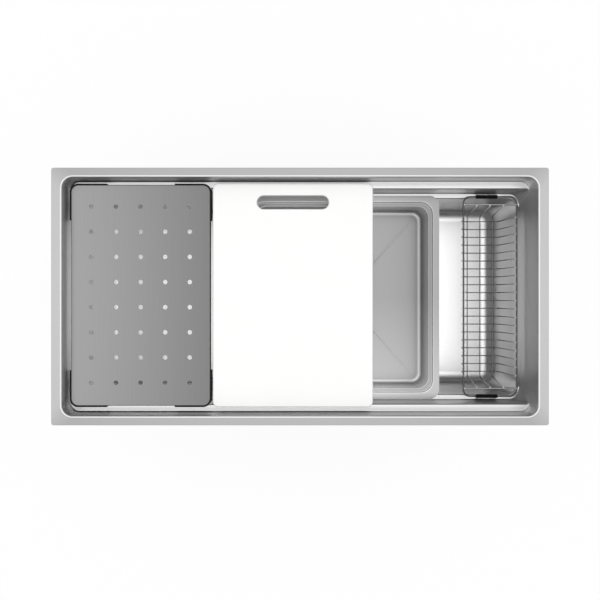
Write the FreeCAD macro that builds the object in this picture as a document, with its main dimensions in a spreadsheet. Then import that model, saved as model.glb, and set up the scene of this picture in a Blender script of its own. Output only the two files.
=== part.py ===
"""Kitchen sink with two tiers of ledges, and the pieces that ride on them.

Millimetres. X runs along the sink, Y from its front to its back, Z up.
The origin is the middle of the rim's underside, where the sink sits on a worktop.
"""
import FreeCAD, Part
import Sketcher
import math
import os
from FreeCAD import Vector

# Driving sizes: name, value in millimetres (or a count), what it is
SIZES = [
    # the rim and the bowl
    ("rim_length", 850, "rim plate along X"),
    ("rim_width", 440, "rim plate along Y"),
    ("rim_thickness", 3, "rim plate"),
    ("rim_corner_radius", 4, "outer corners of the rim"),
    ("rim_edge_radius", 0.8, "rounded outer edge of the rim"),
    ("rim_end_width", 18, "rim at each end, edge to mouth"),
    ("rim_side_width", 16, "rim along front and back, edge to mouth"),
    ("mouth_corner_radius", 18, "corners of the mouth"),
    ("lip_edge", 0.5, "bowl's lip, its bend to the rim's underside"),
    ("lip_flat", 0.3, "bowl's lip, its bend to the weld"),
    ("sheet", 1.2, "bowl's sheet"),
    ("bowl_depth", 230, "rim's top to bowl's floor"),
    ("upper_ledge_depth", 34, "rim's top to upper ledge"),
    ("upper_ledge_width", 13.5, "upper ledge, front and back"),
    ("middle_corner_radius", 20, "corners between the ledges"),
    ("lower_ledge_depth", 74, "rim's top to lower ledge"),
    ("lower_ledge_width", 9.5, "lower ledge, front and back"),
    ("lower_corner_radius", 26, "corners of the deep bowl"),
    ("floor_radius", 16, "bend between walls and floor"),
    ("running_gap", 0.3, "between a loose piece and what it rests on"),
    # the drain
    ("drain_hole_gap", 1, "hole in the bowl's floor, around the strainer"),
    ("dish_margin", 2, "dish around the strainer's flange"),
    ("flange_seal_thickness", 1, "seal under the strainer's flange"),
    ("strainer_flange_width", 13, "strainer's flange, beyond its cup"),
    ("strainer_flange_thickness", 2, "strainer's flange"),
    ("strainer_radius", 44, "outside of the strainer's cup"),
    ("strainer_wall", 1.5, "strainer's cup"),
    ("strainer_depth", 46, "floor to the strainer's underside"),
    ("outlet_radius", 19.5, "bore of the strainer's outlet"),
    ("spigot_wall", 4.3, "strainer's outlet thread"),
    ("spigot_length", 16, "strainer's outlet thread"),
    ("under_washer_width", 12, "washers under the floor, beyond the cup"),
    ("under_washer_thickness", 3, "rubber washer under the floor"),
    ("friction_ring_thickness", 1, "fibre ring under the washer"),
    ("locknut_width", 11, "ring nut, beyond the cup"),
    ("locknut_height", 9, "ring nut on the strainer"),
    ("locknut_notch_radius", 6, "spanner notches in the ring nut"),
    ("locknut_notches", 8, "count"),
    ("tail_radius", 19.05, "outside of the tailpiece"),
    ("tail_wall", 1.2, "tailpiece"),
    ("tail_length", 100, "tailpiece below its flange"),
    ("tail_flange_thickness", 2, "tailpiece's flange"),
    ("tail_washer_thickness", 2, "washer above the tailpiece"),
    ("slip_nut_wall", 5.2, "nut that holds the tailpiece, beyond the thread"),
    ("slip_nut_grip", 12, "nut's thread on the spigot"),
    ("slip_nut_lip", 3, "nut's lip under the flange"),
    ("slip_nut_clearance", 1.2, "lip around the tailpiece"),
    ("slip_nut_rib_radius", 2.5, "finger ribs on the nut"),
    ("slip_nut_ribs", 10, "count"),
    # the lift-out strainer basket
    ("cup_clearance", 0.7, "basket's lip to the strainer's wall"),
    ("cup_lip_width", 6.8, "basket's lip, beyond its wall"),
    ("cup_wall", 0.8, "basket's sheet"),
    ("cup_height", 32, "basket, floor to lip"),
    ("cup_hole_radius", 2.5, "drain holes in the basket"),
    ("cup_hole_inset", 9, "basket's wall to the outer ring of holes"),
    ("cup_ring_gap", 11, "outer ring of holes to the inner one"),
    ("cup_outer_holes", 16, "count"),
    ("cup_inner_holes", 8, "count"),
    ("plug_inset", 5, "rubber plug, inside the basket's wall"),
    ("plug_thickness", 5, "rubber plug under the basket"),
    ("post_radius", 3, "basket's post"),
    ("post_tip", 6, "post below the plug"),
    ("knob_radius", 9, "knob on the post"),
    ("knob_height", 8, "knob on the post"),
    ("knob_edge_radius", 2, "rounded edge of the knob"),
    # sound pads
    ("pad_thickness", 3, "rubber sound pads"),
    ("pad_margin", 24, "pad to the drain or the wall"),
    ("end_pad_inset", 51, "end pads to the long walls"),
    ("end_pad_rise", 23, "end pads to the floor and the lower ledge"),
    ("long_pad_inset", 127, "long pads to the end walls"),
    ("long_pad_rise", 33, "long pads to the floor and the lower ledge"),
    # worktop clips
    ("worktop", 40, "thickest worktop that the clips hold"),
    ("clip_count", 4, "clips on each long side"),
    ("clip_end_inset", 77, "end wall to the nearest clip"),
    ("clip_width", 24, "bracket"),
    ("clip_height", 24, "bracket"),
    ("clip_sheet", 1.5, "bracket"),
    ("clip_reach", 16, "bracket's tab"),
    ("clip_drop", 2, "below the upper ledge"),
    ("clip_screw_radius", 2.5, "clip's screw"),
    ("clip_screw_past", 4.8, "clip's screw above its claw"),
    ("clip_screw_out", 9.5, "bracket's back to the screw"),
    ("clip_head_radius", 4.5, "clip's screw head"),
    ("clip_head_height", 4, "clip's screw head"),
    ("clip_head_gap", 3, "screw's head below the tab"),
    ("claw_sheet", 2, "clip's claw"),
    ("claw_width", 18, "clip's claw"),
    ("claw_heel", 4.5, "claw behind the screw"),
    ("claw_tip", 2.5, "claw's upturned tip"),
    ("claw_rise", 4, "claw's upturned tip"),
    ("claw_inset", 0.5, "claw inside the rim's edge"),
    # perforated plate and its corner guards
    ("plate_length", 243.5, "perforated plate along X"),
    ("plate_wall_gap", 4.2, "guards to the end wall"),
    ("plate_height", 10.5, "folded skirt and top"),
    ("plate_sheet", 1.2, "perforated plate"),
    ("plate_corner_radius", 13, "perforated plate"),
    ("plate_edge_radius", 1.5, "fold between top and skirt"),
    ("plate_hole_radius", 4, "drain holes"),
    ("plate_margin_x", 35.75, "outer holes to the plate's ends"),
    ("plate_margin_front", 40.6, "front holes to the plate's edge"),
    ("plate_margin_back", 38, "back holes to the plate's edge"),
    ("plate_columns", 5, "count"),
    ("plate_rows", 8, "count"),
    ("guard_thickness", 2.2, "corner guard outside the skirt"),
    ("guard_inner", 1, "corner guard inside the skirt"),
    ("guard_inner_height", 6, "corner guard inside the skirt"),
    ("guard_foot", 1.5, "corner guard under the skirt"),
    ("guard_leg", 49, "corner guard along each side"),
    ("back_gap", 6.5, "plate and board to the back wall"),
    ("front_gap", 10.5, "plate and board to the front wall"),
    # cutting board
    ("board_gap", 2.5, "board to the plate's guards"),
    ("board_length", 280, "board along X"),
    ("board_thickness", 14, "board"),
    ("board_corner_radius", 10, "board"),
    ("board_edge_radius", 2.5, "board's edges"),
    ("slot_length", 125, "handle slot along X"),
    ("slot_width", 23, "handle slot along Y"),
    ("slot_inset", 33, "slot's middle to the board's back edge"),
    # stepped tray
    ("tray_length", 358, "tray along X"),
    ("tray_back_gap", 4.5, "tray to the back wall above the ledge"),
    ("tray_front_gap", 1.5, "tray to the front wall above the ledge"),
    ("tray_sheet", 1, "tray"),
    ("tray_corner_radius", 18, "tray's flange"),
    ("tray_flange", 12, "tray's flange"),
    ("tray_step_width", 7.4, "tray's step"),
    ("tray_step_depth", 5, "flange to step"),
    ("tray_step_radius", 22, "corners of the step"),
    ("tray_depth", 62, "flange to floor"),
    ("tray_well_radius", 20, "corners of the tray's well"),
    ("tray_floor_radius", 8, "bend between the tray's walls and floor"),
    ("tray_fall", 4, "tray's floor, walls to outlet"),
    ("tray_fall_margin", 4, "creases to the flat floor's edge"),
    ("tray_outlet_margin", 10, "flat floor around the outlet"),
    ("tray_hole_radius", 20, "tray's outlet"),
    ("stopper_gap", 2, "stopper's body in the outlet"),
    ("stopper_flange_width", 6, "stopper's flange, beyond the outlet"),
    ("stopper_flange_thickness", 3, "stopper's flange"),
    ("stopper_depth", 8, "stopper below its flange"),
    ("stopper_grip_radius", 5, "stopper's grip"),
    ("stopper_grip_height", 14, "stopper's grip"),
    # wire basket
    ("basket_gap", 6.5, "wire basket to the end wall"),
    ("basket_length", 101, "wire basket along X, over its rim wire"),
    ("basket_rest", 2.5, "ledge's inner edge to the rim wire"),
    ("basket_tray_gap", 42.5, "wire basket to the tray"),
    ("basket_corner_radius", 12, "rim wire's corners"),
    ("basket_depth", 55, "rim wire to long wires"),
    ("basket_slope", 10, "side wires lean in"),
    ("basket_bend", 8, "bends of the basket's wires"),
    ("rim_wire_radius", 1.5, "rim wire and end bars"),
    ("wire_radius", 1, "long and cross wires"),
    ("weld_gap", 0.05, "wires at their welds"),
    ("end_bar_inset", 14.5, "rim wire to end bar"),
    ("long_wire_inset", 24.5, "rim wire to the outer long wires"),
    ("long_wires", 3, "count"),
    ("cross_wire_inset", 23, "end bars to the nearest cross wires"),
    ("cross_wires", 20, "count"),
    ("sleeve_radius", 3.5, "rubber sleeve on the rim wire"),
    ("sleeve_length", 18.5, "rubber sleeve on the rim wire"),
    ("sleeve_pitch", 20, "sleeve to sleeve"),
    ("sleeve_shift", 6.5, "pair of sleeves towards the tray"),
]

# How a sketch counts the points of a line or an arc, and its own origin
START, END, CENTRE = range(1, 4)
ORIGIN = (-1, START)

doc = FreeCAD.newDocument("kitchen_sink")
dim = doc.addObject("Spreadsheet::Sheet", "dim")
pieces = []

# The mouth and its lip
OPENING_LENGTH = "(dim.rim_length - 2 * dim.rim_end_width)"
OPENING_WIDTH = "(dim.rim_width - 2 * dim.rim_side_width)"
LIP_RADIUS = "(dim.rim_thickness - dim.lip_edge)"
LIP_WIDTH = f"({LIP_RADIUS} + dim.lip_flat)"

# Levels, worked out from the rim's underside
UPPER_LEDGE = "(dim.rim_thickness - dim.upper_ledge_depth)"
LOWER_LEDGE = "(dim.rim_thickness - dim.lower_ledge_depth)"
FLOOR = "(dim.rim_thickness - dim.bowl_depth)"
DISH = f"({FLOOR} - dim.strainer_flange_thickness - dim.flange_seal_thickness)"
DISH_UNDER = f"({DISH} - dim.sheet)"
MIDDLE_WIDTH = f"({OPENING_WIDTH} - 2 * dim.upper_ledge_width)"
LOWER_WIDTH = f"({MIDDLE_WIDTH} - 2 * dim.lower_ledge_width)"
LOWER_WALL = f"({LOWER_WIDTH} / 2 + dim.sheet)"
SPIGOT_TOP = f"({FLOOR} - dim.strainer_depth)"
SPIGOT_END = f"({SPIGOT_TOP} - dim.spigot_length)"

# Radii of the drain, worked out from the strainer's cup and its outlet
STRAINER_FLANGE = "(dim.strainer_radius + dim.strainer_flange_width)"
DISH_RADIUS = f"({STRAINER_FLANGE} + dim.dish_margin)"
DRAIN_HOLE = "(dim.strainer_radius + dim.drain_hole_gap)"
UNDER_WASHER = "(dim.strainer_radius + dim.under_washer_width)"
LOCKNUT = "(dim.strainer_radius + dim.locknut_width)"
SPIGOT = "(dim.outlet_radius + dim.spigot_wall)"
SLIP_NUT = f"({SPIGOT} + dim.slip_nut_wall)"
CUP_LIP = "(dim.strainer_radius - dim.strainer_wall - dim.cup_clearance)"
CUP = f"({CUP_LIP} - dim.cup_lip_width)"
OUTER_RING = f"({CUP} - dim.cup_hole_inset)"
INNER_RING = f"({OUTER_RING} - dim.cup_ring_gap)"
PLUG = f"({CUP} - dim.plug_inset)"

# Places of the loose pieces
ACCESSORY_Y = "((dim.front_gap - dim.back_gap) / 2)"
ACCESSORY_WIDTH = f"({OPENING_WIDTH} - dim.front_gap - dim.back_gap)"
PLATE_WIDTH = f"({ACCESSORY_WIDTH} - 2 * dim.guard_thickness)"
PLATE_X = f"(dim.plate_wall_gap + dim.guard_thickness + (dim.plate_length - {OPENING_LENGTH}) / 2)"
PLATE_RIGHT = f"({PLATE_X} + dim.plate_length / 2 + dim.guard_thickness)"
PLATE_FOOT = f"({UPPER_LEDGE} + dim.running_gap)"
PLATE_SKIRT = f"({PLATE_FOOT} + dim.guard_foot)"
PLATE_TOP = f"({PLATE_SKIRT} + dim.plate_height)"
BOARD_X = f"({PLATE_RIGHT} + dim.board_gap + dim.board_length / 2)"
BOARD_UNDER = f"({UPPER_LEDGE} + dim.running_gap)"
BASKET_X = f"(({OPENING_LENGTH} - dim.basket_length) / 2 - dim.basket_gap)"
BASKET_Z = f"({LOWER_LEDGE} + dim.running_gap + dim.sleeve_radius)"
BASKET_FLOOR = f"({BASKET_Z} - dim.basket_depth)"
BASKET_HALF_X = "(dim.basket_length / 2 - dim.rim_wire_radius)"
BASKET_HALF_Y = f"({LOWER_WIDTH} / 2 + dim.basket_rest)"
END_BAR_Y = f"({BASKET_HALF_Y} - dim.end_bar_inset)"
CROSS_WIRE_SPAN = f"(2 * ({END_BAR_Y} - dim.cross_wire_inset))"
LONG_WIRE_SPAN = f"(2 * ({BASKET_HALF_X} - dim.long_wire_inset))"
TRAY_X = f"({BASKET_X} - (dim.basket_length + dim.tray_length) / 2 - dim.basket_tray_gap)"
TRAY_Y = "((dim.tray_front_gap - dim.tray_back_gap) / 2)"
TRAY_WIDTH = f"({MIDDLE_WIDTH} - dim.tray_front_gap - dim.tray_back_gap)"
TRAY_RIM = f"({LOWER_LEDGE} + dim.running_gap + dim.tray_sheet)"
TRAY_STEP = f"({TRAY_RIM} - dim.tray_step_depth)"
TRAY_FLOOR = f"({TRAY_RIM} - dim.tray_depth)"
TRAY_OUTLET = f"({TRAY_FLOOR} - dim.tray_fall)"
TRAY_FLAT = "(dim.tray_hole_radius + dim.tray_outlet_margin)"


def fill_sheet():
    """Write the driving sizes to the sheet, one row each."""
    for row, (name, value, note) in enumerate(SIZES, 1):
        dim.set(f"A{row}", name)
        dim.set(f"B{row}", str(value))
        dim.set(f"C{row}", note)
        dim.setAlias(f"B{row}", name)
    doc.recompute()


def size(text):
    """The value of an expression over the sheet."""
    return float(dim.evalExpression(text))


def new_body(label):
    """An empty sub-part, which may hold several solids."""
    body = doc.addObject("PartDesign::Body", label)
    body.Label = label
    body.AllowCompound = True
    pieces.append(body)
    return body


def origin_plane(body, role):
    return next(item for item in body.Origin.OriginFeatures if item.Role == role)


def new_sketch(body, name, role="XY_Plane", x="0", y="0", out="0"):
    """A sketch on one of the body's own planes, moved by x and y in it and by out from it."""
    sketch = body.newObject("Sketcher::SketchObject", name)
    sketch.AttachmentSupport = [(origin_plane(body, role), "")]
    sketch.MapMode = "FlatFace"
    for axis, text in (("x", x), ("y", y), ("z", out)):
        sketch.setExpression(f"AttachmentOffset.Base.{axis}", text)
    return sketch


def drive(sketch, constraint, name, text):
    """Add a constraint whose value follows the sheet."""
    index = sketch.addConstraint(constraint)
    sketch.renameConstraint(index, name)
    sketch.setExpression(f"Constraints.{name}", text)


def circle(sketch, radius, name="radius"):
    """A circle about the sketch's origin."""
    shape = sketch.addGeometry(Part.Circle(Vector(0, 0, 0), Vector(0, 0, 1), size(radius)))
    sketch.addConstraint(Sketcher.Constraint("Coincident", shape, CENTRE, *ORIGIN))
    drive(sketch, Sketcher.Constraint("Radius", shape, size(radius)), name, radius)


def rounded_rectangle(sketch, length, width, radius):
    """A rectangle about the sketch's origin with round corners."""
    half_length, half_width, corner = size(length) / 2, size(width) / 2, size(radius)
    arcs = []
    lines = []
    for turn, (side, end) in enumerate(((1, 1), (-1, 1), (-1, -1), (1, -1))):
        centre = Vector(side * (half_length - corner), end * (half_width - corner), 0)
        whole = Part.Circle(centre, Vector(0, 0, 1), corner)
        arc = Part.ArcOfCircle(whole, turn * math.pi / 2, (turn + 1) * math.pi / 2)
        arcs.append(sketch.addGeometry(arc))
    for turn in range(4):
        start = sketch.getPoint(arcs[turn], END)
        end = sketch.getPoint(arcs[(turn + 1) % 4], START)
        lines.append(sketch.addGeometry(Part.LineSegment(start, end)))
    for turn in range(4):
        after = arcs[(turn + 1) % 4]
        sketch.addConstraint(Sketcher.Constraint("Tangent", arcs[turn], END, lines[turn], START))
        sketch.addConstraint(Sketcher.Constraint("Tangent", lines[turn], END, after, START))
        sketch.addConstraint(Sketcher.Constraint("Vertical" if turn % 2 else "Horizontal", lines[turn]))
    for arc in arcs[1:]:
        sketch.addConstraint(Sketcher.Constraint("Equal", arcs[0], arc))
    sketch.addConstraint(Sketcher.Constraint("Symmetric", arcs[0], CENTRE, arcs[2], CENTRE, *ORIGIN))
    drive(sketch, Sketcher.Constraint("Radius", arcs[0], corner), "radius", radius)
    across = Sketcher.Constraint("DistanceX", lines[1], START, lines[3], START, 2 * half_length)
    drive(sketch, across, "length", length)
    along = Sketcher.Constraint("DistanceY", lines[2], START, lines[0], START, 2 * half_width)
    drive(sketch, along, "width", width)


def obround(sketch, length, width):
    """A slot about the sketch's origin with half-round ends, along its X."""
    radius = f"{width} / 2"
    span = f"({length} - {width})"
    half, round_end = size(span) / 2, size(radius)
    right = Part.Circle(Vector(half, 0, 0), Vector(0, 0, 1), round_end)
    left = Part.Circle(Vector(-half, 0, 0), Vector(0, 0, 1), round_end)
    right = sketch.addGeometry(Part.ArcOfCircle(right, -math.pi / 2, math.pi / 2))
    left = sketch.addGeometry(Part.ArcOfCircle(left, math.pi / 2, 3 * math.pi / 2))
    top = Part.LineSegment(sketch.getPoint(right, END), sketch.getPoint(left, START))
    low = Part.LineSegment(sketch.getPoint(left, END), sketch.getPoint(right, START))
    top, low = sketch.addGeometry(top), sketch.addGeometry(low)
    for first, second in ((right, top), (top, left), (left, low), (low, right)):
        sketch.addConstraint(Sketcher.Constraint("Tangent", first, END, second, START))
    sketch.addConstraint(Sketcher.Constraint("Horizontal", top))
    sketch.addConstraint(Sketcher.Constraint("Equal", right, left))
    sketch.addConstraint(Sketcher.Constraint("Symmetric", left, CENTRE, right, CENTRE, *ORIGIN))
    drive(sketch, Sketcher.Constraint("Radius", right, round_end), "radius", radius)
    drive(sketch, Sketcher.Constraint("DistanceX", left, CENTRE, right, CENTRE, 2 * half), "span", span)


def outline(sketch, points):
    """A closed outline of straight lines through points given as pairs of expressions."""
    places = [Vector(size(x), size(y), 0) for x, y in points]
    count = len(places)
    lines = [
        sketch.addGeometry(Part.LineSegment(places[k], places[(k + 1) % count])) for k in range(count)
    ]
    for k, (x, y) in enumerate(points):
        sketch.addConstraint(Sketcher.Constraint("Coincident", lines[k - 1], END, lines[k], START))
        drive(sketch, Sketcher.Constraint("DistanceX", *ORIGIN, lines[k], START, places[k].x), f"x{k}", x)
        drive(sketch, Sketcher.Constraint("DistanceY", *ORIGIN, lines[k], START, places[k].y), f"y{k}", y)


def corner_band(sketch, inner, outer, leg):
    """A band around a quarter turn about the sketch's origin, with a straight leg at each end."""
    near, far, run = size(inner), size(outer), size(leg)
    arcs = []
    for radius in (far, near):
        whole = Part.Circle(Vector(0, 0, 0), Vector(0, 0, 1), radius)
        arcs.append(sketch.addGeometry(Part.ArcOfCircle(whole, 0, math.pi / 2)))
    corners = {}
    for key, radius in (("far", far), ("near", near)):
        across = Part.LineSegment(Vector(0, radius, 0), Vector(-run, radius, 0))
        down = Part.LineSegment(Vector(radius, -run, 0), Vector(radius, 0, 0))
        corners[key] = (sketch.addGeometry(across), sketch.addGeometry(down))
    left = sketch.addGeometry(Part.LineSegment(Vector(-run, far, 0), Vector(-run, near, 0)))
    low = sketch.addGeometry(Part.LineSegment(Vector(near, -run, 0), Vector(far, -run, 0)))
    for arc, key in zip(arcs, ("far", "near")):
        across, down = corners[key]
        sketch.addConstraint(Sketcher.Constraint("Coincident", arc, CENTRE, *ORIGIN))
        sketch.addConstraint(Sketcher.Constraint("Tangent", arc, END, across, START))
        sketch.addConstraint(Sketcher.Constraint("Tangent", down, END, arc, START))
        sketch.addConstraint(Sketcher.Constraint("Horizontal", across))
        sketch.addConstraint(Sketcher.Constraint("Vertical", down))
    (far_across, far_down), (near_across, near_down) = corners["far"], corners["near"]
    sketch.addConstraint(Sketcher.Constraint("Coincident", far_across, END, left, START))
    sketch.addConstraint(Sketcher.Constraint("Coincident", left, END, near_across, END))
    sketch.addConstraint(Sketcher.Constraint("Coincident", near_down, START, low, START))
    sketch.addConstraint(Sketcher.Constraint("Coincident", low, END, far_down, START))
    sketch.addConstraint(Sketcher.Constraint("Vertical", left))
    sketch.addConstraint(Sketcher.Constraint("Horizontal", low))
    drive(sketch, Sketcher.Constraint("Radius", arcs[0], far), "outer", outer)
    drive(sketch, Sketcher.Constraint("Radius", arcs[1], near), "inner", inner)
    drive(sketch, Sketcher.Constraint("DistanceX", left, START, *ORIGIN, run), "leg_x", leg)
    drive(sketch, Sketcher.Constraint("DistanceY", low, START, *ORIGIN, run), "leg_y", leg)


def bent_path(sketch, points, bend):
    """An open path through points given as pairs of expressions, with round bends."""
    places = [Vector(size(x), size(y), 0) for x, y in points]
    radius = size(bend)
    marks = []
    for k, (x, y) in enumerate(points):
        mark = sketch.addGeometry(Part.Point(places[k]), True)
        drive(sketch, Sketcher.Constraint("DistanceX", *ORIGIN, mark, START, places[k].x), f"x{k}", x)
        drive(sketch, Sketcher.Constraint("DistanceY", *ORIGIN, mark, START, places[k].y), f"y{k}", y)
        marks.append(mark)
    starts = [places[0]]
    ends = []
    for before, corner, after in zip(places, places[1:], places[2:]):
        to_last = (before - corner).normalize()
        to_next = (after - corner).normalize()
        half_angle = to_last.getAngle(to_next) / 2
        cut = radius / math.tan(half_angle)
        ends.append(corner + to_last * cut)
        starts.append(corner + to_next * cut)
    ends.append(places[-1])
    lines = [sketch.addGeometry(Part.LineSegment(a, b)) for a, b in zip(starts, ends)]
    sketch.addConstraint(Sketcher.Constraint("Coincident", lines[0], START, marks[0], START))
    sketch.addConstraint(Sketcher.Constraint("Coincident", lines[-1], END, marks[-1], START))
    for k in range(len(lines) - 1):
        corner = places[k + 1]
        inward = ((ends[k] - corner) + (starts[k + 1] - corner)).normalize()
        reach = math.hypot(radius, (ends[k] - corner).Length)
        centre = corner + inward * reach
        arc = Part.Arc(ends[k], centre - inward * radius, starts[k + 1])
        arc = sketch.addGeometry(arc)
        to_start = (sketch.getPoint(arc, START) - ends[k]).Length
        to_end = (sketch.getPoint(arc, END) - ends[k]).Length
        near, far = (START, END) if to_start < to_end else (END, START)
        sketch.addConstraint(Sketcher.Constraint("Tangent", lines[k], END, arc, near))
        sketch.addConstraint(Sketcher.Constraint("Tangent", lines[k + 1], START, arc, far))
        sketch.addConstraint(Sketcher.Constraint("PointOnObject", marks[k + 1], START, lines[k]))
        sketch.addConstraint(Sketcher.Constraint("PointOnObject", marks[k + 1], START, lines[k + 1]))
        drive(sketch, Sketcher.Constraint("Radius", arc, radius), f"bend{k}", bend)


def pad(body, name, sketch, length):
    """Add material from a sketch, along the sketch's outward direction."""
    feature = body.newObject("PartDesign::Pad", name)
    feature.Profile = (sketch, [""])
    feature.setExpression("Length", length)
    return feature


def pocket(body, name, sketch, length):
    """Cut material from a sketch, against the sketch's outward direction."""
    feature = body.newObject("PartDesign::Pocket", name)
    feature.Profile = (sketch, [""])
    feature.setExpression("Length", length)
    return feature


def revolve(body, name, sketch):
    """Turn a sketch a full turn about its own upright axis."""
    feature = body.newObject("PartDesign::Revolution", name)
    feature.Profile = (sketch, [""])
    feature.ReferenceAxis = (sketch, ["V_Axis"])
    feature.Angle = 360
    return feature


def fillet(body, name, base, wanted, radius):
    """Round the edges of the last feature for which wanted(edge) is true."""
    doc.recompute()
    names = [f"Edge{k}" for k, edge in enumerate(base.Shape.Edges, 1) if wanted(edge)]
    feature = body.newObject("PartDesign::Fillet", name)
    feature.Base = (base, names)
    feature.setExpression("Radius", radius)
    return feature


def level_edges(height, half_length, half_width):
    """A test for edges that lie at one height and within a centred rectangle."""
    level, reach_x, reach_y = size(height), size(half_length), size(half_width)
    slack = size("dim.running_gap") / 10

    def wanted(edge):
        box = edge.BoundBox
        flat = abs(box.ZMin - level) < slack and abs(box.ZMax - level) < slack
        inside = box.XMax < reach_x + slack and box.YMax < reach_y + slack
        return flat and inside and box.XMin > -reach_x - slack and box.YMin > -reach_y - slack

    return wanted


def add_block(body, name, plan, low, high, x="0", y="0"):
    """A rounded block between two heights. plan is its length, width and corner radius."""
    sketch = new_sketch(body, f"{name}_plan", x=x, y=y, out=low)
    rounded_rectangle(sketch, *plan)
    return pad(body, name, sketch, f"({high}) - ({low})")


def cut_block(body, name, plan, low, high, x="0", y="0"):
    """A rounded pocket between two heights."""
    sketch = new_sketch(body, f"{name}_plan", x=x, y=y, out=high)
    rounded_rectangle(sketch, *plan)
    return pocket(body, name, sketch, f"({high}) - ({low})")


def add_disc(body, name, radius, low, high, x="0", y="0"):
    sketch = new_sketch(body, f"{name}_plan", x=x, y=y, out=low)
    circle(sketch, radius)
    return pad(body, name, sketch, f"({high}) - ({low})")


def cut_disc(body, name, radius, low, high, x="0", y="0"):
    sketch = new_sketch(body, f"{name}_plan", x=x, y=y, out=high)
    circle(sketch, radius)
    return pocket(body, name, sketch, f"({high}) - ({low})")


def add_ring(label, inner, outer, low, high, x="0", y="0"):
    """A flat ring as a sub-part of its own."""
    body = new_body(label)
    sketch = new_sketch(body, "plan", x=x, y=y, out=low)
    circle(sketch, outer, "outer")
    circle(sketch, inner, "inner")
    pad(body, "ring", sketch, f"({high}) - ({low})")
    return body


def add_plain_box(body, name, plan, low, high, x="0", y="0"):
    """A square-cornered block between two heights."""
    length, width = plan
    sketch = new_sketch(body, f"{name}_plan", x=x, y=y, out=low)
    side, end = f"{length} / 2", f"{width} / 2"
    corners = [(f"-{side}", f"-{end}"), (side, f"-{end}"), (side, end), (f"-{side}", end)]
    outline(sketch, corners)
    return pad(body, name, sketch, f"({high}) - ({low})")


def grown(plan, amount):
    """A plan made larger all round."""
    length, width, radius = plan
    return (f"({length} + 2 * {amount})", f"({width} + 2 * {amount})", f"({radius} + {amount})")


MOUTH = (OPENING_LENGTH, OPENING_WIDTH, "dim.mouth_corner_radius")
MIDDLE = (OPENING_LENGTH, MIDDLE_WIDTH, "dim.middle_corner_radius")
DEEP = (OPENING_LENGTH, LOWER_WIDTH, "dim.lower_corner_radius")


def rim_plate():
    """The flat rim: a plate around the bowl's lip, to which it is welded."""
    body = new_body("rim_plate")
    outer = ("dim.rim_length", "dim.rim_width", "dim.rim_corner_radius")
    add_block(body, "plate", outer, "0", "dim.rim_thickness")
    last = cut_block(body, "cutout", grown(MOUTH, LIP_WIDTH), "0", "dim.rim_thickness")
    outside = level_edges("dim.rim_thickness", "dim.rim_length / 2", "dim.rim_width / 2")
    inside = level_edges(
        "dim.rim_thickness", f"{OPENING_LENGTH} / 2 + {LIP_WIDTH}", f"{OPENING_WIDTH} / 2 + {LIP_WIDTH}"
    )
    fillet(body, "edge", last, lambda edge: outside(edge) and not inside(edge), "dim.rim_edge_radius")


def sink_bowl():
    """The bowl of one sheet, with two ledges in its front and back walls."""
    body = new_body("sink_bowl")
    under_floor = f"({FLOOR} - dim.sheet)"
    add_block(body, "lip", grown(MOUTH, LIP_WIDTH), "0", "dim.rim_thickness")
    add_block(body, "mouth", grown(MOUTH, "dim.sheet"), f"{UPPER_LEDGE} - dim.sheet", "dim.rim_thickness")
    add_block(body, "middle", grown(MIDDLE, "dim.sheet"), f"{LOWER_LEDGE} - dim.sheet", UPPER_LEDGE)
    add_block(body, "deep", grown(DEEP, "dim.sheet"), under_floor, LOWER_LEDGE)
    cut_block(body, "mouth_space", MOUTH, UPPER_LEDGE, "dim.rim_thickness")
    cut_block(body, "middle_space", MIDDLE, LOWER_LEDGE, UPPER_LEDGE)
    last = cut_block(body, "deep_space", DEEP, FLOOR, LOWER_LEDGE)
    floor = level_edges(FLOOR, OPENING_LENGTH, OPENING_WIDTH)
    last = fillet(body, "inner_floor_bend", last, floor, "dim.floor_radius")
    base = level_edges(under_floor, OPENING_LENGTH, OPENING_WIDTH)
    fillet(body, "outer_floor_bend", last, base, "dim.floor_radius + dim.sheet")
    add_disc(body, "dish", f"{DISH_RADIUS} + dim.sheet", DISH_UNDER, FLOOR)
    cut_disc(body, "dish_space", DISH_RADIUS, DISH, FLOOR)
    last = cut_disc(body, "drain_hole", DRAIN_HOLE, DISH_UNDER, DISH)
    mouth = level_edges("dim.rim_thickness", f"{OPENING_LENGTH} / 2", f"{OPENING_WIDTH} / 2")
    fillet(body, "lip_bend", last, mouth, LIP_RADIUS)


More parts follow.
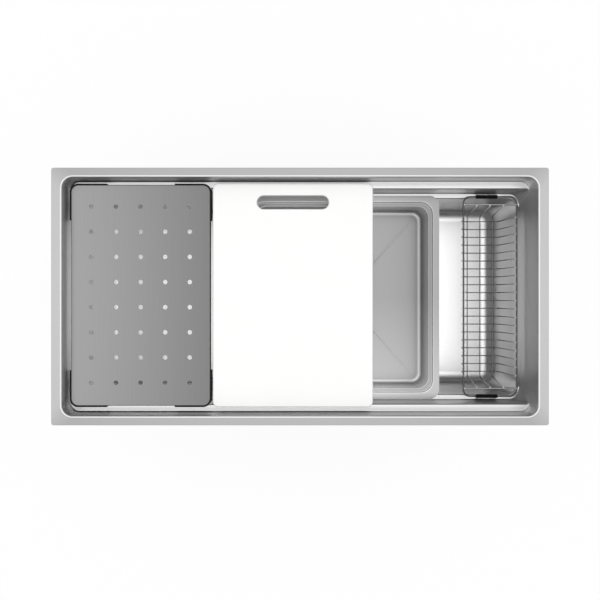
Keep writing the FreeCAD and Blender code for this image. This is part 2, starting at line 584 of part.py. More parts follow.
def sound_pads():
    """Rubber pads stuck under the floor and on the outside of the walls."""
    under = f"({FLOOR} - dim.sheet)"
    inner = f"({DISH_RADIUS} + dim.sheet + dim.pad_margin)"
    outer = f"({OPENING_LENGTH} / 2 - dim.floor_radius - dim.pad_margin)"
    plan = (f"({outer} - {inner})", f"({LOWER_WIDTH} - 2 * dim.floor_radius - 2 * dim.pad_margin)")
    for label, side in (("floor_pad_left", "-1"), ("floor_pad_right", "1")):
        body = new_body(label)
        middle = f"{side} * ({outer} + {inner}) / 2"
        add_plain_box(body, "slab", plan, f"{under} - dim.pad_thickness", under, x=middle)
    face = f"({OPENING_LENGTH} / 2 + dim.sheet + dim.pad_thickness / 2)"
    for label, side in (("end_pad_left", "-1"), ("end_pad_right", "1")):
        body = new_body(label)
        plan = ("dim.pad_thickness", f"({LOWER_WIDTH} - 2 * dim.end_pad_inset)")
        low, high = f"{FLOOR} + dim.end_pad_rise", f"{LOWER_LEDGE} - dim.end_pad_rise"
        add_plain_box(body, "slab", plan, low, high, x=f"{side} * {face}")
    face = f"({LOWER_WALL} + dim.pad_thickness / 2)"
    for label, side in (("front_pad", "-1"), ("back_pad", "1")):
        body = new_body(label)
        plan = (f"({OPENING_LENGTH} - 2 * dim.long_pad_inset)", "dim.pad_thickness")
        low, high = f"{FLOOR} + dim.long_pad_rise", f"{LOWER_LEDGE} - dim.long_pad_rise"
        add_plain_box(body, "slab", plan, low, high, y=f"{side} * {face}")


CLIP_BACK = f"({MIDDLE_WIDTH} / 2 + dim.sheet)"
CLIP_TOP = f"({UPPER_LEDGE} - dim.sheet - dim.clip_drop)"
CLIP_FOOT = f"({CLIP_TOP} - dim.clip_height)"
CLIP_SCREW = f"({CLIP_BACK} + dim.clip_screw_out)"
CLIP_SPAN = f"({OPENING_LENGTH} - 2 * dim.clip_end_inset)"
CLIP_FIRST = f"(-{CLIP_SPAN} / 2)"
CLAW_EDGE = "(dim.rim_width / 2 - dim.claw_inset)"
CLAW_UNDER = "(-dim.worktop - dim.claw_rise - dim.claw_sheet)"


def spread_clips(body):
    """Repeat the first clip's piece along the back wall, then mirror the row to the front."""
    row = body.newObject("PartDesign::LinearPattern", "row")
    row.TransformMode = "Whole shape"
    row.Direction = (origin_plane(body, "X_Axis"), [""])
    row.setExpression("Length", CLIP_SPAN)
    row.setExpression("Occurrences", "dim.clip_count")
    body.Tip = row
    doc.recompute()
    both = body.newObject("PartDesign::Mirrored", "both_sides")
    both.TransformMode = "Whole shape"
    both.MirrorPlane = (origin_plane(body, "XZ_Plane"), [""])
    body.Tip = both


def clip_brackets():
    """Angle brackets welded to the wall below the upper ledge."""
    body = new_body("clip_brackets")
    profile = new_sketch(body, "profile", "YZ_Plane", out=f"{CLIP_FIRST} - dim.clip_width / 2")
    back, front = CLIP_BACK, f"{CLIP_BACK} + dim.clip_sheet"
    tab, tip = f"{CLIP_FOOT} + dim.clip_sheet", f"{CLIP_BACK} + dim.clip_reach"
    angle = [(back, CLIP_FOOT), (tip, CLIP_FOOT), (tip, tab), (front, tab), (front, CLIP_TOP)]
    outline(profile, angle + [(back, CLIP_TOP)])
    pad(body, "angle", profile, "dim.clip_width")
    hole = "dim.clip_screw_radius + dim.weld_gap"
    cut_disc(body, "hole", hole, CLIP_FOOT, tab, x=CLIP_FIRST, y=CLIP_SCREW)
    spread_clips(body)


def clip_screws():
    """Screws up through the brackets' tabs, turned from below."""
    body = new_body("clip_screws")
    seat = f"({CLIP_FOOT} - dim.clip_head_gap)"
    low, high = f"{seat} - dim.clip_head_height", f"{CLAW_UNDER} + dim.claw_sheet + dim.clip_screw_past"
    add_disc(body, "head", "dim.clip_head_radius", low, seat, x=CLIP_FIRST, y=CLIP_SCREW)
    add_disc(body, "shank", "dim.clip_screw_radius", seat, high, x=CLIP_FIRST, y=CLIP_SCREW)
    spread_clips(body)


def clip_claws():
    """Claws on the screws, with a tip that presses up under the worktop."""
    body = new_body("clip_claws")
    profile = new_sketch(body, "profile", "YZ_Plane", out=f"{CLIP_FIRST} - dim.claw_width / 2")
    heel, top = f"{CLIP_SCREW} - dim.claw_heel", f"{CLAW_UNDER} + dim.claw_sheet"
    tip = f"{CLAW_EDGE} - dim.claw_tip"
    hook = [(heel, CLAW_UNDER), (CLAW_EDGE, CLAW_UNDER), (CLAW_EDGE, "-dim.worktop")]
    outline(profile, hook + [(tip, "-dim.worktop"), (tip, top), (heel, top)])
    pad(body, "hook", profile, "dim.claw_width")
    hole = "dim.clip_screw_radius + dim.weld_gap"
    cut_disc(body, "hole", hole, CLAW_UNDER, top, x=CLIP_FIRST, y=CLIP_SCREW)
    spread_clips(body)


def strainer_body():
    """The strainer that is clamped in the bowl's drain hole, with its threaded outlet."""
    body = new_body("strainer_body")
    inner = "dim.strainer_radius - dim.strainer_wall"
    under_flange = f"{FLOOR} - dim.strainer_flange_thickness"
    floor = f"{SPIGOT_TOP} + dim.strainer_wall"
    profile = new_sketch(body, "profile", "XZ_Plane")
    outline(profile, [
        (inner, FLOOR),
        (STRAINER_FLANGE, FLOOR),
        (STRAINER_FLANGE, under_flange),
        ("dim.strainer_radius", under_flange),
        ("dim.strainer_radius", SPIGOT_TOP),
        (SPIGOT, SPIGOT_TOP),
        (SPIGOT, SPIGOT_END),
        ("dim.outlet_radius", SPIGOT_END),
        ("dim.outlet_radius", floor),
        (inner, floor),
    ])
    revolve(body, "turned", profile)


def strainer_rings():
    """The flange's seal above the sheet, and the washers below it."""
    seal_top = f"({DISH} + dim.flange_seal_thickness)"
    add_ring("flange_seal", DRAIN_HOLE, STRAINER_FLANGE, DISH, seal_top)
    washer = f"({DISH_UNDER} - dim.under_washer_thickness)"
    add_ring("under_washer", "dim.strainer_radius", UNDER_WASHER, washer, DISH_UNDER)
    ring = f"({washer} - dim.friction_ring_thickness)"
    add_ring("friction_ring", "dim.strainer_radius", UNDER_WASHER, ring, washer)
    return ring


def locknut(top):
    """The ring nut that pulls the strainer down, with notches for a spanner."""
    low = f"({top} - dim.locknut_height)"
    body = add_ring("locknut", "dim.strainer_radius", LOCKNUT, low, top)
    edge = f"{LOCKNUT} + dim.locknut_notch_radius / 2"
    notch = cut_disc(body, "notch", "dim.locknut_notch_radius", low, top, x=edge)
    repeat_round(body, notch, "dim.locknut_notches")


def repeat_round(body, feature, count):
    """Repeat a feature evenly about the body's upright axis."""
    doc.recompute()
    ring = body.newObject("PartDesign::PolarPattern", f"{feature.Name}_ring")
    ring.Originals = [feature]
    ring.Axis = (origin_plane(body, "Z_Axis"), [""])
    ring.Angle = 360
    ring.setExpression("Occurrences", count)
    body.Tip = ring
    return ring


def tail():
    """Washer, flanged tailpiece and the nut that holds them to the strainer."""
    washer_low = f"({SPIGOT_END} - dim.tail_washer_thickness)"
    flange_low = f"({washer_low} - dim.tail_flange_thickness)"
    add_ring("tail_washer", "dim.tail_radius", SPIGOT, washer_low, SPIGOT_END)
    body = new_body("tailpiece")
    profile = new_sketch(body, "profile", "XZ_Plane")
    bore, end = "dim.tail_radius - dim.tail_wall", f"{flange_low} - dim.tail_length"
    outline(profile, [
        (bore, washer_low),
        (SPIGOT, washer_low),
        (SPIGOT, flange_low),
        ("dim.tail_radius", flange_low),
        ("dim.tail_radius", end),
        (bore, end),
    ])
    revolve(body, "turned", profile)
    body = new_body("slip_nut")
    profile = new_sketch(body, "profile", "XZ_Plane")
    top, low = f"{SPIGOT_END} + dim.slip_nut_grip", f"{flange_low} - dim.slip_nut_lip"
    around = "dim.tail_radius + dim.slip_nut_clearance"
    outline(profile, [
        (SPIGOT, top),
        (SLIP_NUT, top),
        (SLIP_NUT, low),
        (around, low),
        (around, flange_low),
        (SPIGOT, flange_low),
    ])
    revolve(body, "turned", profile)
    rib = add_disc(body, "rib", "dim.slip_nut_rib_radius", low, top, x=SLIP_NUT)
    repeat_round(body, rib, "dim.slip_nut_ribs")


def strainer_basket():
    """The basket that lifts out of the strainer: cup, rubber plug, post and knob."""
    seat = f"({SPIGOT_TOP} + dim.strainer_wall + dim.running_gap)"
    plug_top = f"({seat} + dim.plug_thickness)"
    lip = f"({plug_top} + dim.cup_height)"
    cup_floor = f"{plug_top} + dim.cup_wall"
    add_ring("strainer_plug", "dim.post_radius", PLUG, seat, plug_top)
    body = new_body("strainer_cup")
    profile = new_sketch(body, "profile", "XZ_Plane")
    inner = f"{CUP} - dim.cup_wall"
    outline(profile, [
        ("dim.post_radius", plug_top),
        (CUP, plug_top),
        (CUP, f"{lip} - dim.cup_wall"),
        (CUP_LIP, f"{lip} - dim.cup_wall"),
        (CUP_LIP, lip),
        (inner, lip),
        (inner, cup_floor),
        ("dim.post_radius", cup_floor),
    ])
    revolve(body, "turned", profile)
    for name, ring, count in (
        ("outer_hole", OUTER_RING, "dim.cup_outer_holes"),
        ("inner_hole", INNER_RING, "dim.cup_inner_holes"),
    ):
        hole = cut_disc(body, name, "dim.cup_hole_radius", plug_top, cup_floor, x=ring)
        repeat_round(body, hole, count)
    knob_low = f"({lip} - dim.knob_height)"
    body = new_body("strainer_post")
    add_disc(body, "rod", "dim.post_radius", f"{seat} - dim.post_tip", knob_low)
    body = new_body("strainer_knob")
    last = add_disc(body, "head", "dim.knob_radius", knob_low, lip)
    rim = level_edges(lip, "dim.knob_radius", "dim.knob_radius")
    fillet(body, "soft_edge", last, rim, "dim.knob_edge_radius")


def drain_plate():
    """The perforated plate with a folded skirt, which bridges the bowl at the left."""
    body = new_body("drain_plate")
    place = {"x": PLATE_X, "y": ACCESSORY_Y}
    plan = ("dim.plate_length", PLATE_WIDTH, "dim.plate_corner_radius")
    last = add_block(body, "block", plan, PLATE_SKIRT, PLATE_TOP, **place)
    top = level_edges(PLATE_TOP, "dim.rim_length", "dim.rim_width")
    fillet(body, "fold", last, top, "dim.plate_edge_radius")
    under = f"({PLATE_TOP} - dim.plate_sheet)"
    inner = new_sketch(body, "hollow_plan", out=under, **place)
    rounded_rectangle(inner, *grown(plan, "-dim.plate_sheet"))
    pocket(body, "hollow", inner, "dim.plate_height - dim.plate_sheet")
    first_x = f"{PLATE_X} - dim.plate_length / 2 + dim.plate_margin_x"
    first_y = f"{ACCESSORY_Y} - {PLATE_WIDTH} / 2 + dim.plate_margin_front"
    hole = cut_disc(body, "hole", "dim.plate_hole_radius", under, PLATE_TOP, x=first_x, y=first_y)
    doc.recompute()
    grid = body.newObject("PartDesign::LinearPattern", "hole_grid")
    grid.Originals = [hole]
    grid.Direction = (origin_plane(body, "X_Axis"), [""])
    grid.setExpression("Length", "dim.plate_length - 2 * dim.plate_margin_x")
    grid.setExpression("Occurrences", "dim.plate_columns")
    grid.Direction2 = (origin_plane(body, "Y_Axis"), [""])
    grid.setExpression("Length2", f"{PLATE_WIDTH} - dim.plate_margin_front - dim.plate_margin_back")
    grid.setExpression("Occurrences2", "dim.plate_rows")
    body.Tip = grid


def corner_guards():
    """Rubber channels on the plate's corners: outside, under and inside the skirt."""
    skirt = "dim.plate_corner_radius"
    inside = f"({skirt} - dim.plate_sheet)"
    bands = (
        ("foot", f"{inside} - dim.guard_inner", f"{skirt} + dim.guard_thickness", "dim.guard_foot"),
        ("outer", skirt, f"{skirt} + dim.guard_thickness", "dim.guard_foot + dim.plate_height"),
        ("inner", f"{inside} - dim.guard_inner", inside, "dim.guard_foot + dim.guard_inner_height"),
    )
    corners = (
        ("guard_back_right", 1, 1),
        ("guard_back_left", -1, 1),
        ("guard_front_left", -1, -1),
        ("guard_front_right", 1, -1),
    )
    for turn, (label, side, end) in enumerate(corners):
        body = new_body(label)
        for name, near, far, height in bands:
            sketch = new_sketch(body, f"{name}_plan")
            corner_band(sketch, near, far, "dim.guard_leg")
            pad(body, name, sketch, height)
        body.Placement = FreeCAD.Placement(Vector(), FreeCAD.Rotation(Vector(0, 0, 1), 90 * turn))
        out_x = f"{side} * (dim.plate_length / 2 - {skirt})"
        out_y = f"{end} * ({PLATE_WIDTH} / 2 - {skirt})"
        body.setExpression("Placement.Base.x", f"{PLATE_X} + {out_x}")
        body.setExpression("Placement.Base.y", f"{ACCESSORY_Y} + {out_y}")
        body.setExpression("Placement.Base.z", PLATE_FOOT)


def cutting_board():
    """The board, with a slot to lift it by near its back edge."""
    body = new_body("cutting_board")
    top = f"({BOARD_UNDER} + dim.board_thickness)"
    plan = ("dim.board_length", ACCESSORY_WIDTH, "dim.board_corner_radius")
    add_block(body, "slab", plan, BOARD_UNDER, top, x=BOARD_X, y=ACCESSORY_Y)
    slot_y = f"{ACCESSORY_Y} + {ACCESSORY_WIDTH} / 2 - dim.slot_inset"
    sketch = new_sketch(body, "slot_plan", x=BOARD_X, y=slot_y, out=top)
    obround(sketch, "dim.slot_length", "dim.slot_width")
    last = pocket(body, "slot", sketch, "dim.board_thickness")
    upper = level_edges(top, "dim.rim_length", "dim.rim_width")
    lower = level_edges(BOARD_UNDER, "dim.rim_length", "dim.rim_width")
    fillet(body, "soft_edges", last, lambda edge: upper(edge) or lower(edge), "dim.board_edge_radius")


def loft(body, kind, name, lower, upper):
    """A loft between two sketches: kind is AdditiveLoft or SubtractiveLoft."""
    feature = body.newObject(f"PartDesign::{kind}", name)
    feature.Profile = (lower, [""])
    feature.Sections = [(upper, [""])]
    feature.Ruled = True
    return feature


def square_plan(body, name, half_length, half_width, height):
    """A rectangle about the tray's middle, as a sketch."""
    sketch = new_sketch(body, name, x=TRAY_X, y=TRAY_Y, out=height)
    side, end = f"({half_length})", f"({half_width})"
    corners = [(f"-{side}", f"-{end}"), (side, f"-{end}"), (side, end), (f"-{side}", end)]
    outline(sketch, corners)
    return sketch


def tray_pan():
    """The stepped tray, whose floor falls along four creases to its outlet."""
    body = new_body("tray_pan")
    place = {"x": TRAY_X, "y": TRAY_Y}
    flange = ("dim.tray_length", TRAY_WIDTH, "dim.tray_corner_radius")
    inset = "dim.tray_flange"
    step = (f"(dim.tray_length - 2 * {inset})", f"({TRAY_WIDTH} - 2 * {inset})", "dim.tray_step_radius")
    inset = "(dim.tray_flange + dim.tray_step_width)"
    well = (f"(dim.tray_length - 2 * {inset})", f"({TRAY_WIDTH} - 2 * {inset})", "dim.tray_well_radius")
    flat_x = f"{well[0]} / 2 - dim.tray_floor_radius - dim.tray_fall_margin"
    flat_y = f"{well[1]} / 2 - dim.tray_floor_radius - dim.tray_fall_margin"
    under_floor, under_outlet = f"({TRAY_FLOOR} - dim.tray_sheet)", f"({TRAY_OUTLET} - dim.tray_sheet)"
    add_block(body, "flange", flange, f"{TRAY_RIM} - dim.tray_sheet", TRAY_RIM, **place)
    under_step = f"{TRAY_STEP} - dim.tray_sheet"
    add_block(body, "step", grown(step, "dim.tray_sheet"), under_step, TRAY_RIM, **place)
    add_block(body, "well", grown(well, "dim.tray_sheet"), under_floor, TRAY_STEP, **place)
    cut_block(body, "step_space", step, TRAY_STEP, TRAY_RIM, **place)
    last = cut_block(body, "well_space", well, TRAY_FLOOR, TRAY_STEP, **place)
    floor = level_edges(TRAY_FLOOR, "dim.rim_length", "dim.rim_width")
    last = fillet(body, "inner_well_bend", last, floor, "dim.tray_floor_radius")
    base = level_edges(under_floor, "dim.rim_length", "dim.rim_width")
    fillet(body, "outer_well_bend", last, base, "dim.tray_floor_radius + dim.tray_sheet")
    wide = square_plan(body, "fall_under_wide", flat_x, flat_y, under_floor)
    small = square_plan(body, "fall_under_small", TRAY_FLAT, TRAY_FLAT, under_outlet)
    loft(body, "AdditiveLoft", "fall_under", wide, small)
    wide = square_plan(body, "fall_wide", flat_x, flat_y, TRAY_FLOOR)
    small = square_plan(body, "fall_small", TRAY_FLAT, TRAY_FLAT, TRAY_OUTLET)
    loft(body, "SubtractiveLoft", "fall", wide, small)
    cut_disc(body, "outlet", "dim.tray_hole_radius", under_outlet, TRAY_OUTLET, **place)


def tray_stopper():
    """The rubber stopper in the tray's outlet."""
    body = new_body("tray_stopper")
    seat = f"({TRAY_OUTLET} + dim.running_gap)"
    grip = f"{seat} + dim.stopper_flange_thickness"
    around = "dim.tray_hole_radius - dim.stopper_gap"
    flange = "dim.tray_hole_radius + dim.stopper_flange_width"
    profile = new_sketch(body, "profile", "XZ_Plane", x=TRAY_X, out=f"-{TRAY_Y}")
    outline(profile, [
        ("0", f"{seat} - dim.stopper_depth"),
        (around, f"{seat} - dim.stopper_depth"),
        (around, seat),
        (flange, seat),
        (flange, grip),
        ("dim.stopper_grip_radius", grip),
        ("dim.stopper_grip_radius", f"{grip} + dim.stopper_grip_height"),
        ("0", f"{grip} + dim.stopper_grip_height"),
    ])
    revolve(body, "turned", profile)


def sweep(body, name, section, path):
    """Draw a round section along a path."""
    feature = body.newObject("PartDesign::AdditivePipe", name)
    feature.Profile = (section, [""])
    feature.Spine = (path, [])
    return feature


def basket_rim():
    """The heavy wire around the basket's mouth, whose ends lie on the lower ledges."""
    body = new_body("basket_rim")
    path = new_sketch(body, "path", x=BASKET_X, out=BASKET_Z)
    rounded_rectangle(path, f"2 * {BASKET_HALF_X}", f"2 * {BASKET_HALF_Y}", "dim.basket_corner_radius")
    section = new_sketch(body, "section", "XZ_Plane", x=f"{BASKET_X} + {BASKET_HALF_X}", y=BASKET_Z)
    circle(section, "dim.rim_wire_radius")
    sweep(body, "wire", section, path)


def basket_end_bars():
    """Two bars across the rim wire, from which the long wires hang."""
    for label, side in (("basket_bar_front", "-1"), ("basket_bar_back", "1")):
        body = new_body(label)
        half = f"({BASKET_HALF_X} - dim.rim_wire_radius - dim.weld_gap)"
        plan = new_sketch(
            body, "section", "YZ_Plane", x=f"{side} * {END_BAR_Y}", y=BASKET_Z, out=f"{BASKET_X} - {half}"
        )
        circle(plan, "dim.rim_wire_radius")
        pad(body, "bar", plan, f"2 * {half}")


def mirror_and_repeat(body, mirror, direction, length, count):
    """Mirror half a wire, then repeat the whole wire in a row."""
    doc.recompute()
    whole = body.newObject("PartDesign::Mirrored", "whole_wire")
    whole.TransformMode = "Whole shape"
    whole.MirrorPlane = mirror
    body.Tip = whole
    doc.recompute()
    row = body.newObject("PartDesign::LinearPattern", "row")
    row.TransformMode = "Whole shape"
    row.Direction = direction
    row.setExpression("Length", length)
    row.setExpression("Occurrences", count)
    body.Tip = row


def basket_long_wires():
    """Wires along the basket's floor, bent up to the end bars."""
    body = new_body("basket_long_wires")
    top = f"({END_BAR_Y} - dim.rim_wire_radius - dim.wire_radius - dim.weld_gap)"
    first_x = f"{BASKET_X} - {LONG_WIRE_SPAN} / 2"
    path = new_sketch(body, "path", "YZ_Plane", out=first_x)
    corner = f"{top} - dim.basket_slope"
    bent_path(path, [("0", BASKET_FLOOR), (corner, BASKET_FLOOR), (top, BASKET_Z)], "dim.basket_bend")
    section = new_sketch(body, "section", "XZ_Plane", x=first_x, y=BASKET_FLOOR)
    circle(section, "dim.wire_radius")
    sweep(body, "half_wire", section, path)
    mirror = (origin_plane(body, "XZ_Plane"), [""])
    mirror_and_repeat(body, mirror, (origin_plane(body, "X_Axis"), [""]), LONG_WIRE_SPAN, "dim.long_wires")


def basket_cross_wires():
    """Wires across the basket's floor, under the long wires and up to the rim wire."""
    body = new_body("basket_cross_wires")
    floor = f"({BASKET_FLOOR} - 2 * dim.wire_radius)"
    top = f"({BASKET_HALF_X} - dim.rim_wire_radius - dim.wire_radius - dim.weld_gap)"
    first_y = f"{CROSS_WIRE_SPAN} / 2"
    path = new_sketch(body, "path", "XZ_Plane", x=BASKET_X, out=f"-{first_y}")
    corner = f"{top} - dim.basket_slope"
    bent_path(path, [("0", floor), (corner, floor), (top, BASKET_Z)], "dim.basket_bend")
    section = new_sketch(body, "section", "YZ_Plane", x=first_y, y=floor, out=BASKET_X)
    circle(section, "dim.wire_radius")
    sweep(body, "half_wire", section, path)
    direction = (path, ["N_Axis"])
    mirror_and_repeat(body, (path, ["V_Axis"]), direction, CROSS_WIRE_SPAN, "dim.cross_wires")


def basket_sleeves():
    """Rubber sleeves on the rim wire, two at each end, which rest on the lower ledges."""
    for label, side, end in (
        ("sleeve_back_left", "-1", "1"),
        ("sleeve_back_right", "1", "1"),
        ("sleeve_front_left", "-1", "-1"),
        ("sleeve_front_right", "1", "-1"),
    ):
        body = new_body(label)
        middle = f"{BASKET_X} - dim.sleeve_shift + {side} * dim.sleeve_pitch / 2"
        start = f"{middle} - dim.sleeve_length / 2"
        row = f"{end} * {BASKET_HALF_Y}"
        section = new_sketch(body, "section", "YZ_Plane", x=row, y=BASKET_Z, out=start)
        circle(section, "dim.sleeve_radius", "outer")
        circle(section, "dim.rim_wire_radius", "inner")
        pad(body, "sleeve", section, "dim.sleeve_length")


def write_parts():
    """Check every object and write each sub-part to its own file."""
    doc.recompute()
    for item in doc.Objects:
        if "Invalid" in item.State or "Error" in item.State:
            raise RuntimeError(f"{item.Label} failed: {item.State}")
    os.makedirs("parts", exist_ok=True)
    for body in pieces:
        shape = body.Shape
        if shape.isNull() or not shape.isValid():
            raise RuntimeError(f"{body.Label} has no valid shape")
        shape.exportStep(f"parts/{body.Label}.step")
        print(f"{body.Label}: {len(shape.Solids)} solid(s), {shape.Volume / 1000:.2f} cm3")


fill_sheet()
rim_plate()
sink_bowl()
sound_pads()
clip_brackets()
clip_screws()
clip_claws()
strainer_body()
locknut(strainer_rings())
tail()
strainer_basket()
drain_plate()
corner_guards()
cutting_board()
tray_pan()
tray_stopper()
basket_rim()
basket_end_bars()
basket_long_wires()
basket_cross_wires()
basket_sleeves()
write_parts()
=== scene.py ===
# %% [markdown]
# # A kitchen sink with pieces that ride on its ledges
#
# The sink is stainless steel: a flat rim welded round a deep bowl, whose front and back walls
# step inwards twice. A perforated plate, a cutting board, a tray and a wire basket ride on the
# steps. The construction is already made, so this script loads it as a fixed frame and gives it
# its looks. Two pressed pieces, the bowl and the tray, need soft bends everywhere, and are
# built again here as smooth meshes. The wire basket gets the drops of its spot welds. All the
# others keep their shape and get a finish.

import math

import bmesh
import bpy
from mathutils import Matrix, Vector


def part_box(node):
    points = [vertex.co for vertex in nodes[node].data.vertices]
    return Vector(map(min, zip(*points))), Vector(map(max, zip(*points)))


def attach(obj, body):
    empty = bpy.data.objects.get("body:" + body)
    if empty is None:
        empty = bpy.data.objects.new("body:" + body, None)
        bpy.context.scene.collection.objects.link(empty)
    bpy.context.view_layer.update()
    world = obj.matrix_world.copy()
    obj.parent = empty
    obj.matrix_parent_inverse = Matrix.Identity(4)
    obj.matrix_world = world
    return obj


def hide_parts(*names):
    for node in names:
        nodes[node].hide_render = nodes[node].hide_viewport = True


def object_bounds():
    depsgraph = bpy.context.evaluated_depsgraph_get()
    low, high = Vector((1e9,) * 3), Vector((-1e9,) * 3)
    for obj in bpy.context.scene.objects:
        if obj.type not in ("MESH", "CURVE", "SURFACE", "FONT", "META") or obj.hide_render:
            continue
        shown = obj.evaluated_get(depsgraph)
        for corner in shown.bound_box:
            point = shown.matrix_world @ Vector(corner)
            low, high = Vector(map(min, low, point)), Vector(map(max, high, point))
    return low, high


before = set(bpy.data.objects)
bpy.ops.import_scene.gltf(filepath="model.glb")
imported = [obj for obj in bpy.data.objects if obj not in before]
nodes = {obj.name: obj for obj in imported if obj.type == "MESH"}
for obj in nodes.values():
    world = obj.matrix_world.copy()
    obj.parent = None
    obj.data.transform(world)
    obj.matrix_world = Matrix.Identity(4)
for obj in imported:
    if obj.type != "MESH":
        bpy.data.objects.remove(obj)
frame_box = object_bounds()
MM = 0.001

# %% [markdown]
# ## Rings
#
# A pressed bowl could be carved with boolean cuts, but cuts leave hard edges and stray faces.
# A loft is cleaner: every level of the bowl is a ring, a rectangle with round corners, and all
# rings have the same number of points, so that neighbouring rings are joined by plain quads.
# A point near an end wall may lie at another height than a point near a long wall, which lets
# the ledges fade out at the ends, where the bowl has none.

# %% A ring of points
CORNER_STEPS = 12
LONG_STEPS = 24
END_STEPS = 12


def ease(share):
    """Turn a steady 0 to 1 into one that starts and ends softly."""
    return share * share * (3 - 2 * share)


def between(first, last, share):
    """The number or place at a share of the way from first to last."""
    return first + (last - first) * share


def ring(centre, half_x, half_y, radius, z_side, z_end=None):
    """A rectangle with round corners. z_side is its height beside the long walls, z_end its
    height beside the end walls."""
    z_end = z_side if z_end is None else z_end
    corners = []
    for quarter, (side, end) in enumerate(((1, 1), (-1, 1), (-1, -1), (1, -1))):
        arc = []
        for step in range(CORNER_STEPS + 1):
            share = step / CORNER_STEPS
            angle = (quarter + share) * math.pi / 2
            towards_side = share if quarter % 2 == 0 else 1 - share
            x = side * (half_x - radius) + radius * math.cos(angle)
            y = end * (half_y - radius) + radius * math.sin(angle)
            z = between(z_end, z_side, ease(towards_side))
            arc.append(Vector((centre[0] + x, centre[1] + y, z)))
        corners.append(arc)
    points = []
    for quarter, arc in enumerate(corners):
        points += arc
        following = corners[(quarter + 1) % 4][0]
        steps = LONG_STEPS if quarter % 2 == 0 else END_STEPS
        points += [arc[-1].lerp(following, step / steps) for step in range(1, steps)]
    return points


def round_ring(outer, centre, radius, z):
    """A circle with one point in line with each point of the ring around it."""
    points = []
    for point in outer:
        angle = math.atan2(point.y - centre[1], point.x - centre[0])
        x = centre[0] + radius * math.cos(angle)
        y = centre[1] + radius * math.sin(angle)
        points.append(Vector((x, y, z)))
    return points


print("points in a ring:", len(ring((0, 0), 1, 1, 0.1, 0)))

# %% [markdown]
# The rings follow a path, the section through a wall. Bent sheet has no sharp corner, so the
# path rounds each corner with an arc. It also puts a point just before and just after each arc:
# smooth shading blends across a quad, and without those points the flat walls would look bent.

# %% A path with round corners
ARC_STEPS = 8
HOLD = 0.6 * MM


def round_path(corners):
    """Points along straight runs. Each corner is (inset, height, radius of its bend). A bend
    takes a cut off the run before it and off the run after it."""
    places = [Vector(corner[:2]) for corner in corners]
    runs = [after - before for before, after in zip(places, places[1:])]
    cuts = [0]
    for corner, run, following in zip(corners[1:], runs, runs[1:]):
        cuts.append(corner[2] * math.tan(run.angle(following) / 2))
    cuts.append(0)
    path = [places[0]]
    for k in range(1, len(corners) - 1):
        back, ahead = -runs[k - 1].normalized(), runs[k].normalized()
        reach = math.hypot(cuts[k], corners[k][2])
        centre = places[k] + (back + ahead).normalized() * reach
        start = places[k] + back * cuts[k] - centre
        turn = start.angle_signed(places[k] + ahead * cuts[k] - centre)
        spare_before = runs[k - 1].length - cuts[k - 1] - cuts[k]
        spare_after = runs[k].length - cuts[k] - cuts[k + 1]
        path.append(places[k] + back * (cuts[k] + min(HOLD, spare_before / 3)))
        for step in range(ARC_STEPS + 1):
            angle = -turn * step / ARC_STEPS
            x = start.x * math.cos(angle) - start.y * math.sin(angle)
            y = start.x * math.sin(angle) + start.y * math.cos(angle)
            path.append(centre + Vector((x, y)))
        path.append(places[k] + ahead * (cuts[k] + min(HOLD, spare_after / 3)))
    path.append(places[-1])
    return path


quarter_bend = round_path([(0, 0), (1, 0, 0.5), (1, 1)])
print("points along a path with one corner:", len(quarter_bend))

# %% [markdown]
# The mesh through the rings shows the sheet's inner side. The real sheet has a second side,
# which is never polished. A second set of rings could make it, but the Solidify modifier does
# it in one step: it copies the faces at the sheet's thickness, closes the cut edges, and gives
# the copied faces the piece's second material. That works only when both slots are there, so
# they are made first, empty, and get their steel later.

# %% A loft through rings
SHEET_SIDES = 2
CUT_EDGE = math.radians(40)


def loft(name, rings, sheet):
    """A smooth mesh through the rings, with the sheet's thickness on their outer side."""
    count = len(rings[0])
    faces = []
    for level in range(len(rings) - 1):
        for k in range(count):
            near = level * count + k
            beside = level * count + (k + 1) % count
            faces.append((near, beside, beside + count, near + count))
    mesh = bpy.data.meshes.new(name)
    mesh.from_pydata([point for points in rings for point in points], [], faces)
    mesh.shade_smooth()
    for slot in range(SHEET_SIDES):
        mesh.materials.append(None)
    piece = bpy.data.objects.new(name, mesh)
    bpy.context.scene.collection.objects.link(piece)
    thicken = piece.modifiers.new("thickness", "SOLIDIFY")
    thicken.thickness = sheet
    thicken.offset = -1
    thicken.use_even_offset = True
    thicken.material_offset = 1
    bpy.context.view_layer.objects.active = piece
    with bpy.context.temp_override(object=piece):
        bpy.ops.object.modifier_apply(modifier=thicken.name)
    piece.data.set_sharp_from_angle(angle=CUT_EDGE)
    print(f"{name}: {len(rings)} rings, {len(piece.data.polygons)} faces")
    return piece


print("edges over", round(math.degrees(CUT_EDGE)), "degrees stay sharp")

# %% [markdown]
# ## The bowl
#
# The bowl is drawn from one sheet. Its section runs from the weld at the rim, over the lip's
# small bend, down to the upper ledge, to the lower ledge and round a large bend to the floor.
# A box with bevelled edges could stand for it, but a bevel has one radius, and each bend of the
# bowl has its own. So the section is a path with a radius at each corner, and each point of the
# path becomes a ring. The end walls are plain: there the rings lie one under the other.

